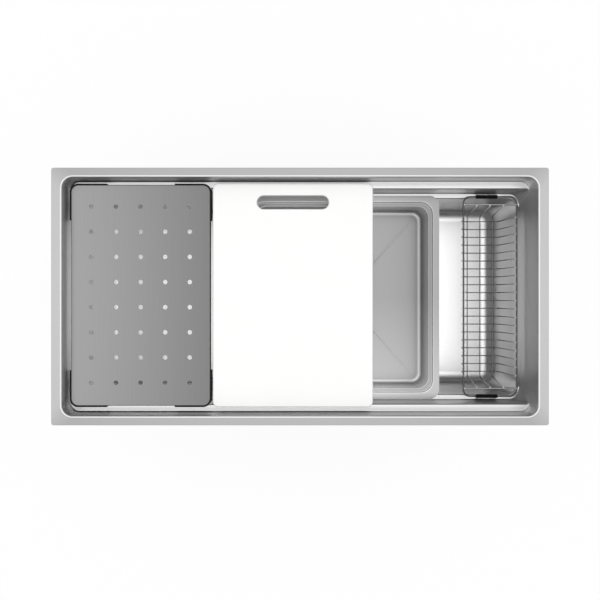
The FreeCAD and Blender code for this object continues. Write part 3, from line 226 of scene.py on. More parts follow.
# %% Sizes of the bowl
bowl_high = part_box("sink_bowl")[1]
LIP = 2.8 * MM
LIP_BEND = 1.8 * MM
BOWL_SHEET = 1.2 * MM
MOUTH_X = bowl_high.x - LIP
MOUTH_Y = bowl_high.y - LIP
RIM_TOP = bowl_high.z
UPPER_LEDGE = RIM_TOP - 34 * MM
LOWER_LEDGE = RIM_TOP - 74 * MM
BOWL_FLOOR = RIM_TOP - 230 * MM
UPPER_WIDTH = 13.5 * MM
LEDGES_WIDTH = UPPER_WIDTH + 9.5 * MM
MOUTH_RADIUS = 18 * MM
TIP_RADIUS = 5 * MM
MIDDLE_RADIUS = 20 * MM
DEEP_RADIUS = 26 * MM
FLOOR_BEND = 20 * MM
INNER_BEND = 3 * MM
NOSE_BEND = 3 * MM
print("mouth", round(2 * MOUTH_X, 4), "by", round(2 * MOUTH_Y, 4))

# %% Rings of the bowl
section = round_path([
    (-LIP, RIM_TOP),
    (0, RIM_TOP, LIP_BEND),
    (0, UPPER_LEDGE, INNER_BEND),
    (UPPER_WIDTH, UPPER_LEDGE, NOSE_BEND),
    (UPPER_WIDTH, LOWER_LEDGE, INNER_BEND),
    (LEDGES_WIDTH, LOWER_LEDGE, NOSE_BEND),
    (LEDGES_WIDTH, BOWL_FLOOR, FLOOR_BEND),
    (LEDGES_WIDTH + FLOOR_BEND + 4 * HOLD, BOWL_FLOOR),
])


def end_heights(path, drops, reach):
    """Heights beside an end wall: there the points of each ledge run evenly down the wall."""
    heights = [point.y for point in path]
    for level, drop in drops.items():
        near = [k for k, height in enumerate(heights) if abs(height - level) < reach]
        top, low = heights[near[0]], level - drop
        for order, k in enumerate(near):
            heights[k] = between(top, low, order / (len(near) - 1))
    return heights


def bowl_corner(inset, height):
    """The corner radius of a ring, from its distance in from the mouth and its height. Out on
    the lip it grows with the distance. The upper ledge ends in a tight corner, which widens
    down the wall below it."""
    if inset < UPPER_WIDTH:
        return between(MOUTH_RADIUS, TIP_RADIUS, max(inset, 0) / UPPER_WIDTH) - min(inset, 0)
    if height > between(UPPER_LEDGE, LOWER_LEDGE, 1 / 2):
        share = (UPPER_LEDGE - height) / (UPPER_LEDGE - LOWER_LEDGE)
        return between(TIP_RADIUS, MIDDLE_RADIUS, share)
    if inset < LEDGES_WIDTH:
        share = (inset - UPPER_WIDTH) / (LEDGES_WIDTH - UPPER_WIDTH)
        return between(MIDDLE_RADIUS, DEEP_RADIUS, share)
    return DEEP_RADIUS - (inset - LEDGES_WIDTH)


# How far down an end wall the rings of each ledge run on.
LEDGE_DROPS = {UPPER_LEDGE: 5 * MM, LOWER_LEDGE: 13 * MM}
bowl_rings = []
for point, z_end in zip(section, end_heights(section, LEDGE_DROPS, NOSE_BEND + 2 * HOLD)):
    end_inset = min(point.x, 0) + max(point.x - LEDGES_WIDTH, 0)
    half_x, half_y = MOUTH_X - end_inset, MOUTH_Y - point.x
    radius = bowl_corner(point.x, point.y)
    bowl_rings.append(ring((0, 0), half_x, half_y, radius, point.y, z_end))
print("rings down to the floor:", len(bowl_rings))

# %% [markdown]
# The floor is flat up to a shallow round dish, where the drain's flange is seated. A boolean
# cut could press the dish into a flat floor, but would leave thin stray faces around it. Here
# the rings go on: from the rounded rectangle to the circle each point moves in steps along a
# straight line, so the floor stays made of quads.

# %% Floor, dish and drain hole
DISH_RADIUS = 59 * MM
DISH_DEPTH = 3 * MM
DISH_BEND = 1.4 * MM
DRAIN_HOLE = 45 * MM
FLOOR_STEPS = 8

dish_section = round_path([
    (DISH_RADIUS + 8 * HOLD, BOWL_FLOOR),
    (DISH_RADIUS, BOWL_FLOOR, DISH_BEND),
    (DISH_RADIUS, BOWL_FLOOR - DISH_DEPTH, DISH_BEND),
    (DRAIN_HOLE, BOWL_FLOOR - DISH_DEPTH),
])
floor_edge = bowl_rings[-1]
dish_rings = [round_ring(floor_edge, (0, 0), point.x, point.y) for point in dish_section]
for step in range(1, FLOOR_STEPS):
    share = step / FLOOR_STEPS
    bowl_rings.append([a.lerp(b, share) for a, b in zip(floor_edge, dish_rings[0])])
bowl = loft("pressed_bowl", bowl_rings + dish_rings, BOWL_SHEET)
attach(bowl, "sink")
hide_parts("sink_bowl")

# %% [markdown]
# ## The tray
#
# The tray is pressed from thin sheet: a flange, a small step, steep walls, and a floor that
# falls along four creases to an outlet in its middle. The creases could be drawn with a bump,
# but a bump has no depth in a view along the floor. The same rings as in the bowl make them:
# towards the outlet the rings stay rectangles with small corners, and those corners are the
# creases. Their points are pressed slightly lower, as the press leaves a line there.

# %% Sizes of the tray
tray_low, tray_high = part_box("tray_pan")
TRAY_MIDDLE = ((tray_low.x + tray_high.x) / 2, (tray_low.y + tray_high.y) / 2)
TRAY_X = (tray_high.x - tray_low.x) / 2
TRAY_Y = (tray_high.y - tray_low.y) / 2
TRAY_TOP = tray_high.z
TRAY_SHEET = 1 * MM
FLANGE = 12 * MM
STEP_DEPTH = 5 * MM
STEP_END = FLANGE + 7.4 * MM
TRAY_FLOOR = TRAY_TOP - 62 * MM
TRAY_BEND = 1.5 * MM
TRAY_FLOOR_BEND = 8 * MM
FLANGE_RADIUS = 18 * MM
STEP_RADIUS = 22 * MM
WELL_RADIUS = 20 * MM
print("tray", round(2 * TRAY_X, 4), "by", round(2 * TRAY_Y, 4))

# %% Rings of the tray's walls
tray_section = round_path([
    (0, TRAY_TOP),
    (FLANGE, TRAY_TOP, TRAY_BEND),
    (FLANGE, TRAY_TOP - STEP_DEPTH, TRAY_BEND),
    (STEP_END, TRAY_TOP - STEP_DEPTH, TRAY_BEND),
    (STEP_END, TRAY_FLOOR, TRAY_FLOOR_BEND),
    (STEP_END + TRAY_FLOOR_BEND + 2 * HOLD, TRAY_FLOOR),
])


def tray_corner(inset):
    """The corner radius at a distance in from the flange's edge."""
    if inset < FLANGE:
        return between(FLANGE_RADIUS, STEP_RADIUS, inset / FLANGE)
    if inset < STEP_END:
        return between(STEP_RADIUS, WELL_RADIUS, (inset - FLANGE) / (STEP_END - FLANGE))
    return WELL_RADIUS - (inset - STEP_END)


tray_rings = []
for point in tray_section:
    half_x, half_y = TRAY_X - point.x, TRAY_Y - point.x
    tray_rings.append(ring(TRAY_MIDDLE, half_x, half_y, tray_corner(point.x), point.y))
print("rings of the tray's walls:", len(tray_rings))

# %% The tray's falling floor and its outlet
FALL = 4 * MM
FALL_START = STEP_END + TRAY_FLOOR_BEND + 4 * MM
FLAT = 30 * MM
CREASE_RADIUS = 3 * MM
CREASE_DEPTH = 0.5 * MM
CREASE_START_SHARE = 1 / 4
CREASE_END_SHARE = 1 / 8
OUTLET = 20 * MM
FALL_STEPS = 10


def creased_ring(share):
    """A ring of the falling floor: 0 is where the fall starts, 1 the flat around the outlet."""
    half_x = between(TRAY_X - FALL_START, FLAT, share)
    half_y = between(TRAY_Y - FALL_START, FLAT, share)
    points = ring(TRAY_MIDDLE, half_x, half_y, CREASE_RADIUS, TRAY_FLOOR - FALL * share)
    press = CREASE_DEPTH * min(1, share / CREASE_START_SHARE, (1 - share) / CREASE_END_SHARE)
    position = 0
    for quarter in range(4):
        for step in range(CORNER_STEPS + 1):
            points[position + step].z -= press * math.sin(math.pi * step / CORNER_STEPS) ** 2
        position += CORNER_STEPS + (LONG_STEPS if quarter % 2 == 0 else END_STEPS)
    return points


tray_rings += [creased_ring(step / FALL_STEPS) for step in range(FALL_STEPS + 1)]
flat_edge = tray_rings[-1]
for radius in (OUTLET + 6 * HOLD, OUTLET):
    tray_rings.append(round_ring(flat_edge, TRAY_MIDDLE, radius, TRAY_FLOOR - FALL))
tray = loft("pressed_tray", tray_rings, TRAY_SHEET)
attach(tray, "tray")
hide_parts("tray_pan")

# %% [markdown]
# ## Finishes
#
# Each finish is a material of nodes. Images laid over the pieces could do it too, but then each
# piece would need a flat layout first. Nodes work on a piece as it is, at any distance. Effects
# that several finishes share are node groups with named inputs: the grain that a brush leaves
# in steel, and the fine mottle of moulded stuff. First come helpers that make and join nodes.

# %% Helpers for nodes
def place(tree, kind, values=None, **settings):
    """Put a node in a tree, with its settings and the plain values of its inputs."""
    node = tree.nodes.new(kind)
    for name, value in settings.items():
        setattr(node, name, value)
    for socket, value in (values or {}).items():
        node.inputs[socket].default_value = value
    return node


def join(tree, source, target):
    """Feed a node's input from another node's output, or set it to a plain number."""
    if isinstance(source, (int, float)):
        target.default_value = source
    else:
        tree.links.new(source, target)


def math_node(tree, operation, *values):
    """The result of a sum. Each of its values is a number or another node's output."""
    node = place(tree, "ShaderNodeMath", operation=operation)
    for socket, value in zip(node.inputs, values):
        join(tree, value, socket)
    return node.outputs[0]


def ramp(tree, value, from_min, from_max, to_min, to_max, kind="LINEAR"):
    """Map a value from one range to another. A limit is a number or another node's output."""
    node = place(tree, "ShaderNodeMapRange", interpolation_type=kind)
    limits = {"From Min": from_min, "From Max": from_max, "To Min": to_min, "To Max": to_max}
    for name, limit in limits.items():
        join(tree, limit, node.inputs[name])
    join(tree, value, node.inputs["Value"])
    return node.outputs["Result"]


def new_group(name, inputs, outputs):
    """An empty node group with named sockets, and its two end nodes."""
    group = bpy.data.node_groups.new(name, "ShaderNodeTree")
    for label, kind in inputs.items():
        group.interface.new_socket(label, in_out="INPUT", socket_type=f"NodeSocket{kind}")
    for label, kind in outputs.items():
        group.interface.new_socket(label, in_out="OUTPUT", socket_type=f"NodeSocket{kind}")
    return group, group.nodes.new("NodeGroupInput"), group.nodes.new("NodeGroupOutput")


print("materials before the first finish:", len(bpy.data.materials))

# %% [markdown]
# A brushed surface is thousands of fine parallel scratches. A wave texture would draw them too
# evenly. Noise stretched along one direction looks like the real thing. Its light and dark
# streaks change the roughness a little, and as a bump they spread the highlights across the
# grain.

# %% Group: brushed grain
RELIEF = 0.2 * MM


def brushed_grain_group():
    """Streaks along the vector's X, and a bump that follows them."""
    inputs = {"Vector": "Vector", "Along": "Float", "Across": "Float", "Depth": "Float"}
    group, start, end = new_group("brushed_grain", inputs, {"Streak": "Float", "Normal": "Vector"})
    scale = place(group, "ShaderNodeCombineXYZ")
    join(group, start.outputs["Along"], scale.inputs["X"])
    join(group, start.outputs["Across"], scale.inputs["Y"])
    join(group, start.outputs["Across"], scale.inputs["Z"])
    stretch = place(group, "ShaderNodeVectorMath", operation="MULTIPLY")
    join(group, start.outputs["Vector"], stretch.inputs[0])
    join(group, scale.outputs[0], stretch.inputs[1])
    noise = place(group, "ShaderNodeTexNoise", {"Scale": 1, "Detail": 4, "Roughness": 0.6})
    join(group, stretch.outputs[0], noise.inputs["Vector"])
    bump = place(group, "ShaderNodeBump", {"Distance": RELIEF})
    join(group, start.outputs["Depth"], bump.inputs["Strength"])
    join(group, noise.outputs["Fac"], bump.inputs["Height"])
    join(group, noise.outputs["Fac"], end.inputs["Streak"])
    join(group, bump.outputs["Normal"], end.inputs["Normal"])
    return group


brushed_grain = brushed_grain_group()
print("group:", brushed_grain.name)

# %% [markdown]
# Rubber, plastic and fibre look plain, but one flat colour would look like paint. Two noises
# help. A coarse one mixes two colours that are nearly alike, in soft patches. A very fine one
# is a bump that breaks up the highlights.

# %% Group: mottle
def mottle_group():
    """A colour in soft patches, and a fine bump."""
    inputs = {"Colour": "Color", "Other colour": "Color", "Patches": "Float", "Pebble": "Float",
              "Depth": "Float"}
    group, start, end = new_group("mottle", inputs, {"Colour": "Color", "Normal": "Vector"})
    where = place(group, "ShaderNodeTexCoord")
    patches = place(group, "ShaderNodeTexNoise", {"Detail": 3})
    join(group, where.outputs["Object"], patches.inputs["Vector"])
    join(group, start.outputs["Patches"], patches.inputs["Scale"])
    mix = place(group, "ShaderNodeMix", data_type="RGBA")
    join(group, patches.outputs["Fac"], mix.inputs["Factor"])
    join(group, start.outputs["Colour"], mix.inputs["A"])
    join(group, start.outputs["Other colour"], mix.inputs["B"])
    pebble = place(group, "ShaderNodeTexNoise", {"Detail": 2})
    join(group, where.outputs["Object"], pebble.inputs["Vector"])
    join(group, start.outputs["Pebble"], pebble.inputs["Scale"])
    bump = place(group, "ShaderNodeBump", {"Distance": RELIEF})
    join(group, start.outputs["Depth"], bump.inputs["Strength"])
    join(group, pebble.outputs["Fac"], bump.inputs["Height"])
    join(group, mix.outputs["Result"], end.inputs["Colour"])
    join(group, bump.outputs["Normal"], end.inputs["Normal"])
    return group


mottle = mottle_group()
print("group:", mottle.name)

# %% [markdown]
# Each material has a Principled shader of its own, and one of the groups placed beside it with
# values of its own. Each could be built by hand in the editor, but then a change to the grain
# would have to be made in every steel. Here all steels share one way of being brushed, and
# differ in numbers only: their two tones of grey, how rough they are, and how long, fine and
# deep the scratches are.

# %% Helpers for materials
NOISE_LOW = 0.3
NOISE_HIGH = 0.7


def grey(value):
    """A colour without a hue."""
    return (value, value, value)


def new_material(name, **values):
    """A material with a Principled shader, and the plain values of that shader."""
    material = bpy.data.materials.new(f"{name}_finish")
    material.use_nodes = True
    shader = material.node_tree.nodes["Principled BSDF"]
    for label, value in values.items():
        shader.inputs[label.replace("_", " ")].default_value = value
    return material, material.node_tree, shader


def quarter_turn(tree, where):
    """Places turned about Z, so that a grain along X runs along Y."""
    turn = place(tree, "ShaderNodeVectorRotate", {"Angle": math.pi / 2}, rotation_type="Z_AXIS")
    join(tree, where, turn.inputs["Vector"])
    return turn.outputs["Vector"]


def brushed_steel(name, greys, roughness, along, across, depth, turned=False):
    """Steel brushed along X, or along Y when it is turned. Its colour and its roughness vary
    between two values each. The scratches get shorter with along and finer with across."""
    material, tree, shader = new_material(name, Metallic=1)
    where = place(tree, "ShaderNodeTexCoord").outputs["Object"]
    sizes = {"Along": along, "Across": across, "Depth": depth}
    grain = place(tree, "ShaderNodeGroup", sizes, node_tree=brushed_grain)
    join(tree, quarter_turn(tree, where) if turned else where, grain.inputs["Vector"])
    streak = grain.outputs["Streak"]
    mix = place(tree, "ShaderNodeMix", data_type="RGBA")
    for side, colour in zip("AB", greys):
        mix.inputs[side].default_value = (*colour, 1)
    join(tree, streak, mix.inputs["Factor"])
    join(tree, mix.outputs["Result"], shader.inputs["Base Color"])
    join(tree, ramp(tree, streak, NOISE_LOW, NOISE_HIGH, *roughness), shader.inputs["Roughness"])
    join(tree, grain.outputs["Normal"], shader.inputs["Normal"])
    return material


def mottled(name, colours, patches, pebble, depth, **values):
    """A plain stuff with soft patches of a second colour and a fine bump."""
    material, tree, shader = new_material(name, **values)
    looks = {"Colour": (*colours[0], 1), "Other colour": (*colours[1], 1), "Patches": patches,
             "Pebble": pebble, "Depth": depth}
    group = place(tree, "ShaderNodeGroup", looks, node_tree=mottle)
    join(tree, group.outputs["Colour"], shader.inputs["Base Color"])
    join(tree, group.outputs["Normal"], shader.inputs["Normal"])
    return material


def finish(material, *names):
    """Give a material to nodes of the frame."""
    for name in names:
        for slot in nodes[name].material_slots:
            slot.material = material
    print(f"{material.name}: {', '.join(names)}")


print("groups to place in materials:", [group.name for group in bpy.data.node_groups])

# %% [markdown]
# ## Steel
#
# Steel shows what it mirrors. In a studio each wall of a sink mirrors another card or lamp, so
# one sheet of steel has many tones. Such cards could be built here too, but the sink would look
# right from one side only. So the light is even, and the tones are painted into the steel as
# painted reflection, painted light and painted shade: its colour is multiplied with factors that
# follow where a face lies and which way it looks. The bowl's long walls are painted darker than
# its ledges, and all its walls darker further down. The tray's walls are painted brighter than
# its floor, and its step darker than its flange.

# %% Tints: painted light and shade
SIDE_WALL = 0.3
END_WALL = 0.9
UPRIGHT = 0.1
SLOPED = 0.75


def paint_light(material, factor):
    """Painted light and shade: the colour times a factor that changes over the surface."""
    tree = material.node_tree
    target = tree.nodes["Principled BSDF"].inputs["Base Color"]
    mix = place(tree, "ShaderNodeMix", {"Factor": 1}, data_type="RGBA", blend_type="MULTIPLY")
    join(tree, target.links[0].from_socket, mix.inputs["A"])
    join(tree, factor, mix.inputs["B"])
    join(tree, mix.outputs["Result"], target)


def looks_along(tree, axis):
    """How much a face looks along an axis, either way: 0 not at all, 1 straight along it."""
    parts = place(tree, "ShaderNodeSeparateXYZ")
    join(tree, place(tree, "ShaderNodeNewGeometry").outputs["Normal"], parts.inputs[0])
    return math_node(tree, "ABSOLUTE", parts.outputs[axis])


def place_along(tree, axis):
    """The place of a point along an axis."""
    parts = place(tree, "ShaderNodeSeparateXYZ")
    join(tree, place(tree, "ShaderNodeTexCoord").outputs["Object"], parts.inputs[0])
    return parts.outputs[axis]


def shade_walls(material, sides, ends, bend, matt=0):
    """Painted shade: upright faces get a share of the colour, one along the sides and one at
    the ends, and their roughness grows by matt. Level faces keep theirs. On a scale from 0,
    upright, to 1, level, a face still counts as upright up to bend. A share over 1 paints light."""
    tree = material.node_tree
    level = looks_along(tree, "Z")
    wall = ramp(tree, looks_along(tree, "X"), SIDE_WALL, END_WALL, sides, ends)
    paint_light(material, ramp(tree, level, bend, 1, wall, 1, "SMOOTHSTEP"))
    if matt:
        rough = tree.nodes["Principled BSDF"].inputs["Roughness"]
        more = ramp(tree, level, 0, 1, matt, 0)
        join(tree, math_node(tree, "ADD", rough.links[0].from_socket, more), rough)


def shade_along(material, axis, first, last, share, end_share=1):
    """Painted light and shade along an axis: one share at first, evenly to another at last."""
    tree = material.node_tree
    paint_light(material, ramp(tree, place_along(tree, axis), first, last, share, end_share))


def shade_deep_walls(material, top, low, share):
    """Painted shade: upright faces get a smaller share of the colour the deeper they lie."""
    tree = material.node_tree
    deep = ramp(tree, place_along(tree, "Z"), top, low, 1, share)
    paint_light(material, ramp(tree, looks_along(tree, "Z"), UPRIGHT, SLOPED, deep, 1, "SMOOTHSTEP"))


print("a wall is a side under", SIDE_WALL, "along X, and an end over", END_WALL)

# %% [markdown]
# The bowl's steel is satin, with a grain too fine to see. The outside of a sink isn't polished,
# so both pressed pieces get a darker, coarser steel in their second slot.

# %% Bowl
outside_steel = brushed_steel("outside_steel", greys=(grey(0.28), grey(0.46)),
                              roughness=(0.28, 0.42), along=3, across=300, depth=0.08)
bowl_steel = brushed_steel("bowl_steel", greys=(grey(0.95), grey(0.98)),
                           roughness=(0.32, 0.36), along=8, across=1500, depth=0.01)
# Painted shade and painted light: the long walls darker and the end walls a little brighter, the
# colour growing from the rim down to the floor, and the deep walls darker further down.
shade_walls(bowl_steel, sides=0.75, ends=1.08, bend=0.86, matt=0.06)
shade_along(bowl_steel, "Z", RIM_TOP, BOWL_FLOOR, share=0.66)
shade_deep_walls(bowl_steel, LOWER_LEDGE + 20 * MM, LOWER_LEDGE - 40 * MM, share=0.6)


def finish_sheet(piece, inside):
    """Give a pressed piece one steel on its inner side and another on its outer side."""
    piece.data.materials[0] = inside
    piece.data.materials[1] = outside_steel
    print(f"{piece.name}: {inside.name}, {outside_steel.name}")


finish_sheet(bowl, bowl_steel)

# %% Tray
STEP_LEVEL = TRAY_TOP - STEP_DEPTH
BEND_TOP = TRAY_FLOOR + 2 * TRAY_FLOOR_BEND
BEND_LOW = TRAY_FLOOR + TRAY_FLOOR_BEND / 2
# Painted light and painted shade of the tray: the flange brighter, the step darker, the walls
# darker towards the floor bend, and the bend and floor brighter again.
FLANGE_PAINTED_LIGHT = 1.25
STEP_PAINTED_SHADE = 0.92
WALL_PAINTED_SHADE = 0.6
FLOOR_PAINTED_LIGHT = 1.6

tray_steel = brushed_steel("tray_steel", greys=(grey(0.28), grey(0.31)),
                           roughness=(0.30, 0.36), along=8, across=1500, depth=0.01)
# Painted light: the walls get more than the tray's colour.
shade_walls(tray_steel, sides=2.7, ends=2.7, bend=0.85)
shade_along(tray_steel, "Z", TRAY_TOP, STEP_LEVEL, FLANGE_PAINTED_LIGHT, STEP_PAINTED_SHADE)
shade_along(tray_steel, "Z", STEP_LEVEL, STEP_LEVEL - STEP_DEPTH, 1, 1 / STEP_PAINTED_SHADE)
shade_along(tray_steel, "Z", STEP_LEVEL, BEND_TOP, 1, WALL_PAINTED_SHADE)
shade_along(tray_steel, "Z", BEND_TOP, BEND_LOW, 1, FLOOR_PAINTED_LIGHT)
# Painted light towards the front, painted shade towards the right end.
shade_along(tray_steel, "Y", tray_low.y, TRAY_MIDDLE[1], share=1.42)
shade_along(tray_steel, "X", tray_high.x, TRAY_MIDDLE[0] + TRAY_X / 3, share=0.77)
finish_sheet(tray, tray_steel)

# %% [markdown]
# The rim is brushed along each of its four sides, so its grain turns at the mitre lines in the
# corners. Four materials on four groups of faces could show that, but the frame's mesh isn't
# cut along the mitre lines. One material can do it: a point belongs to an end of the rim where
# it lies nearer to that end's edge than to a side's edge, and there the grain is turned by a
# quarter.

# %% Rim
MITRE_BLEND = 25 * MM
# Painted shade: the long sides of the rim keep this share of the colour.
RIM_SIDE_PAINTED_SHADE = 0.78


def rim_finish():
    """Brushed steel whose grain follows the nearest side. Painted shade darkens the long sides."""
    material = brushed_steel("rim_steel", greys=(grey(0.39), grey(0.42)),
                             roughness=(0.26, 0.32), along=6, across=1400, depth=0.05)
    tree = material.node_tree
    grain = next(node for node in tree.nodes if node.type == "GROUP")
    where = grain.inputs["Vector"].links[0].from_socket
    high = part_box("rim_plate")[1]
    from_middle = [math_node(tree, "ABSOLUTE", place_along(tree, axis)) for axis in "XY"]
    to_end = math_node(tree, "SUBTRACT", high.x, from_middle[0])
    to_side = math_node(tree, "SUBTRACT", high.y, from_middle[1])
    choose = place(tree, "ShaderNodeMix", data_type="VECTOR")
    join(tree, math_node(tree, "LESS_THAN", to_end, to_side), choose.inputs["Factor"])
    join(tree, where, choose.inputs["A"])
    join(tree, quarter_turn(tree, where), choose.inputs["B"])
    join(tree, choose.outputs["Result"], grain.inputs["Vector"])
    past_mitre = math_node(tree, "SUBTRACT", to_side, to_end)
    paint_light(material, ramp(tree, past_mitre, -MITRE_BLEND, MITRE_BLEND, RIM_SIDE_PAINTED_SHADE, 1))
    return material


finish(rim_finish(), "rim_plate")

# %% [markdown]
# The plate is brushed from front to back, and its scratches are coarse enough to see. The
# strainer is polished, the tailpiece is bright, and the clips are dull zinc. One steel could do
# for all, but the differences are what makes them read as separate pieces.

# %% Plate, strainer, tail and clips
plate_low, plate_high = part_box("drain_plate")
plate_steel = brushed_steel("plate_steel", greys=(grey(0.24), grey(0.31)),
                            roughness=(0.30, 0.38), along=8, across=500, depth=0.15, turned=True)
# Painted shade: the plate's colour falls from full at its left edge to a share at its right edge.
shade_along(plate_steel, "X", plate_high.x, plate_low.x, share=0.58)
strainer_steel = brushed_steel("strainer_steel", greys=(grey(0.66), grey(0.74)),
                               roughness=(0.14, 0.2), along=20, across=900, depth=0.05)
tail_steel = brushed_steel("tail_steel", greys=(grey(0.40), grey(0.48)),
                           roughness=(0.10, 0.18), along=20, across=700, depth=0.03)
clip_steel = brushed_steel("clip_steel", greys=((0.50, 0.51, 0.50), (0.66, 0.67, 0.64)),
                           roughness=(0.34, 0.46), along=60, across=300, depth=0.10)
finish(plate_steel, "drain_plate")
finish(strainer_steel, "strainer_body", "strainer_cup", "strainer_post", "strainer_knob")
finish(tail_steel, "tailpiece")
finish(clip_steel, "clip_brackets", "clip_screws", "clip_claws")

# %% [markdown]
# All wires of the basket are drawn bright, and mirror what is around them in a line that is
# too thin to render well. So, as in the bowl, the tones are painted into the steel as painted
# reflection and painted shade. The heavy wire at the mouth is painted darkest and the end bars
# lighter. The thin wires are painted dark at the bottom of the basket, and lighter as they climb
# out of the shade of the bowl.

# %% Wires
WIRE_GRAIN = {"along": 60, "across": 900, "depth": 0.05}
BRIGHT = (0.10, 0.16)
WIRE_TOP_PAINTED_LIGHT = 5

rim_wire_steel = brushed_steel("rim_wire_steel", (grey(0.08), grey(0.11)), BRIGHT, **WIRE_GRAIN)
bar_steel = brushed_steel("bar_steel", (grey(0.30), grey(0.38)), BRIGHT, **WIRE_GRAIN)
wire_steel = brushed_steel("wire_steel", (grey(0.16), grey(0.20)), BRIGHT, **WIRE_GRAIN)
long_low, long_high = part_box("basket_long_wires")
# Painted light: the thin wires grow lighter towards the top.
shade_along(wire_steel, "Z", long_low.z + 10 * MM, long_high.z, 1, WIRE_TOP_PAINTED_LIGHT)
finish(rim_wire_steel, "basket_rim")
finish(bar_steel, "basket_bar_front", "basket_bar_back")
finish(wire_steel, "basket_long_wires", "basket_cross_wires")

# %% [markdown]
# ## Welds of the wire basket
#
# Each wire of the basket ends on a heavier one, and a spot weld melts both into a small bright
# drop. A remesh of the whole basket could melt the wires together too, but it would coarsen
# all of them. So the drops are tiny round meshes, one at each wire's end, joined into one
# piece. Their places follow from the boxes of the wires and from how many wires there are.

# %% Places of the welds
LONG_WIRES = 3
CROSS_WIRES = 20
WIRE_RADIUS = 1 * MM


def row(first, last, count):
    """Evenly spaced numbers from first to last."""
    return [between(first, last, k / (count - 1)) for k in range(count)]


def weld_places():
    """The ends of all wires of the basket, at the height of its rim wire."""
    rim_z = sum(corner.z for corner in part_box("basket_rim")) / 2
    cross_low, cross_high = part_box("basket_cross_wires")
    places = []
    for y in row(cross_low.y + WIRE_RADIUS, cross_high.y - WIRE_RADIUS, CROSS_WIRES):
        places += [Vector((x, y, rim_z)) for x in (cross_low.x, cross_high.x)]
    for x in row(long_low.x + WIRE_RADIUS, long_high.x - WIRE_RADIUS, LONG_WIRES):
        places += [Vector((x, y, rim_z)) for y in (long_low.y, long_high.y)]
    for bar in ("basket_bar_front", "basket_bar_back"):
        bar_low, bar_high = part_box(bar)
        y = (bar_low.y + bar_high.y) / 2
        places += [Vector((x, y, rim_z)) for x in (bar_low.x, bar_high.x)]
    return places


spots = weld_places()
print("welds:", len(spots))

# %% Drops
DROP_RADIUS = 1.7 * MM

drops = bmesh.new()
for spot in spots:
    there = Matrix.Translation(spot)
    bmesh.ops.create_icosphere(drops, subdivisions=2, radius=DROP_RADIUS, matrix=there)
weld_mesh = bpy.data.meshes.new("basket_welds")
drops.to_mesh(weld_mesh)
drops.free()
weld_mesh.shade_smooth()
welds = bpy.data.objects.new("basket_welds", weld_mesh)
bpy.context.scene.collection.objects.link(welds)
weld_steel = brushed_steel("weld_steel", (grey(0.70), grey(0.80)), (0.20, 0.28), **WIRE_GRAIN)
welds.data.materials.append(weld_steel)
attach(welds, "wire_basket")
print("faces of the drops:", len(weld_mesh.polygons))

# %% [markdown]
# ## Rubber, fibre and plastic
#
# The guards, sleeves and seals are near black rubber with a faint bloom, and the sound pads are
# grey rubber. The nuts are moulded in dark grey plastic, the friction ring is pressed fibre, and
# the board is white plastic with a fine texture. Each could have nodes of its own, but what
# differs is only the colours, the size of the patches and the depth of the texture. So all are
# the same mottle with other numbers.

# %% Rubber
guard_rubber = mottled("guard_rubber", (grey(0.008), grey(0.014)), patches=60, pebble=2500,
                       depth=0.25, Specular_IOR_Level=0.15, Roughness=0.55)
sleeve_rubber = mottled("sleeve_rubber", (grey(0.003), grey(0.006)), patches=60, pebble=2500,
                        depth=0.25, Specular_IOR_Level=0.06, Roughness=0.5)
seal_rubber = mottled("seal_rubber", (grey(0.012), grey(0.03)), patches=40, pebble=1500,
                      depth=0.2, Roughness=0.6)
pad_rubber = mottled("pad_rubber", (grey(0.06), grey(0.09)), patches=30, pebble=900,
                     depth=0.5, Roughness=0.8)
finish(guard_rubber, *(name for name in nodes if name.startswith("guard_")))
finish(sleeve_rubber, *(name for name in nodes if name.startswith("sleeve_")))
finish(pad_rubber, *(name for name in nodes if "_pad" in name))
finish(seal_rubber, "flange_seal", "under_washer", "tail_washer", "strainer_plug", "tray_stopper")

# %% Fibre and plastic
fibre = mottled("fibre", ((0.36, 0.16, 0.08), (0.46, 0.22, 0.12)), patches=200, pebble=3000,
                depth=0.3, Roughness=0.8)
nut_plastic = mottled("nut_plastic", (grey(0.05), grey(0.07)), patches=50, pebble=2000,
                      depth=0.15, Roughness=0.42)
board_plastic = mottled("board_plastic", ((0.93, 0.93, 0.92), (0.96, 0.96, 0.955)), patches=12,
                        pebble=2200, depth=0.12, Roughness=0.45)
# Painted shade: the board's upright edges are darker, more along the sides than at the ends.
shade_walls(board_plastic, sides=0.6, ends=0.8, bend=0.5)
finish(fibre, "friction_ring")
finish(nut_plastic, "locknut", "slip_nut")
finish(board_plastic, "cutting_board")

# %% [markdown]
# ## Floor, light and camera
#
# The sink is shown straight from above, on white. The floor lies under the tailpiece. A very
# bright lamp could turn a grey floor white, but it would bleach the steel too. So the floor's
# own material is nearly white to the camera and to glossy rays, and still takes a shadow.

# %% Floor
FLOOR_SIZE = 12
WHITE_SHARE = 0.85


def floor_finish():
    """A white floor. The camera and glossy rays see most of it as plain white."""
    material, tree, shader = new_material("floor_white", Base_Color=(*grey(0.95), 1),
                                          Specular_IOR_Level=0, Roughness=0.9)
    white = place(tree, "ShaderNodeEmission")
    rays = place(tree, "ShaderNodeLightPath")
    seen = math_node(tree, "MAXIMUM", rays.outputs["Is Camera Ray"], rays.outputs["Is Glossy Ray"])
    blend = place(tree, "ShaderNodeMixShader")
    join(tree, math_node(tree, "MULTIPLY", seen, WHITE_SHARE), blend.inputs["Fac"])
    join(tree, shader.outputs["BSDF"], blend.inputs[1])
    join(tree, white.outputs["Emission"], blend.inputs[2])
    join(tree, blend.outputs["Shader"], tree.nodes["Material Output"].inputs["Surface"])
    return material


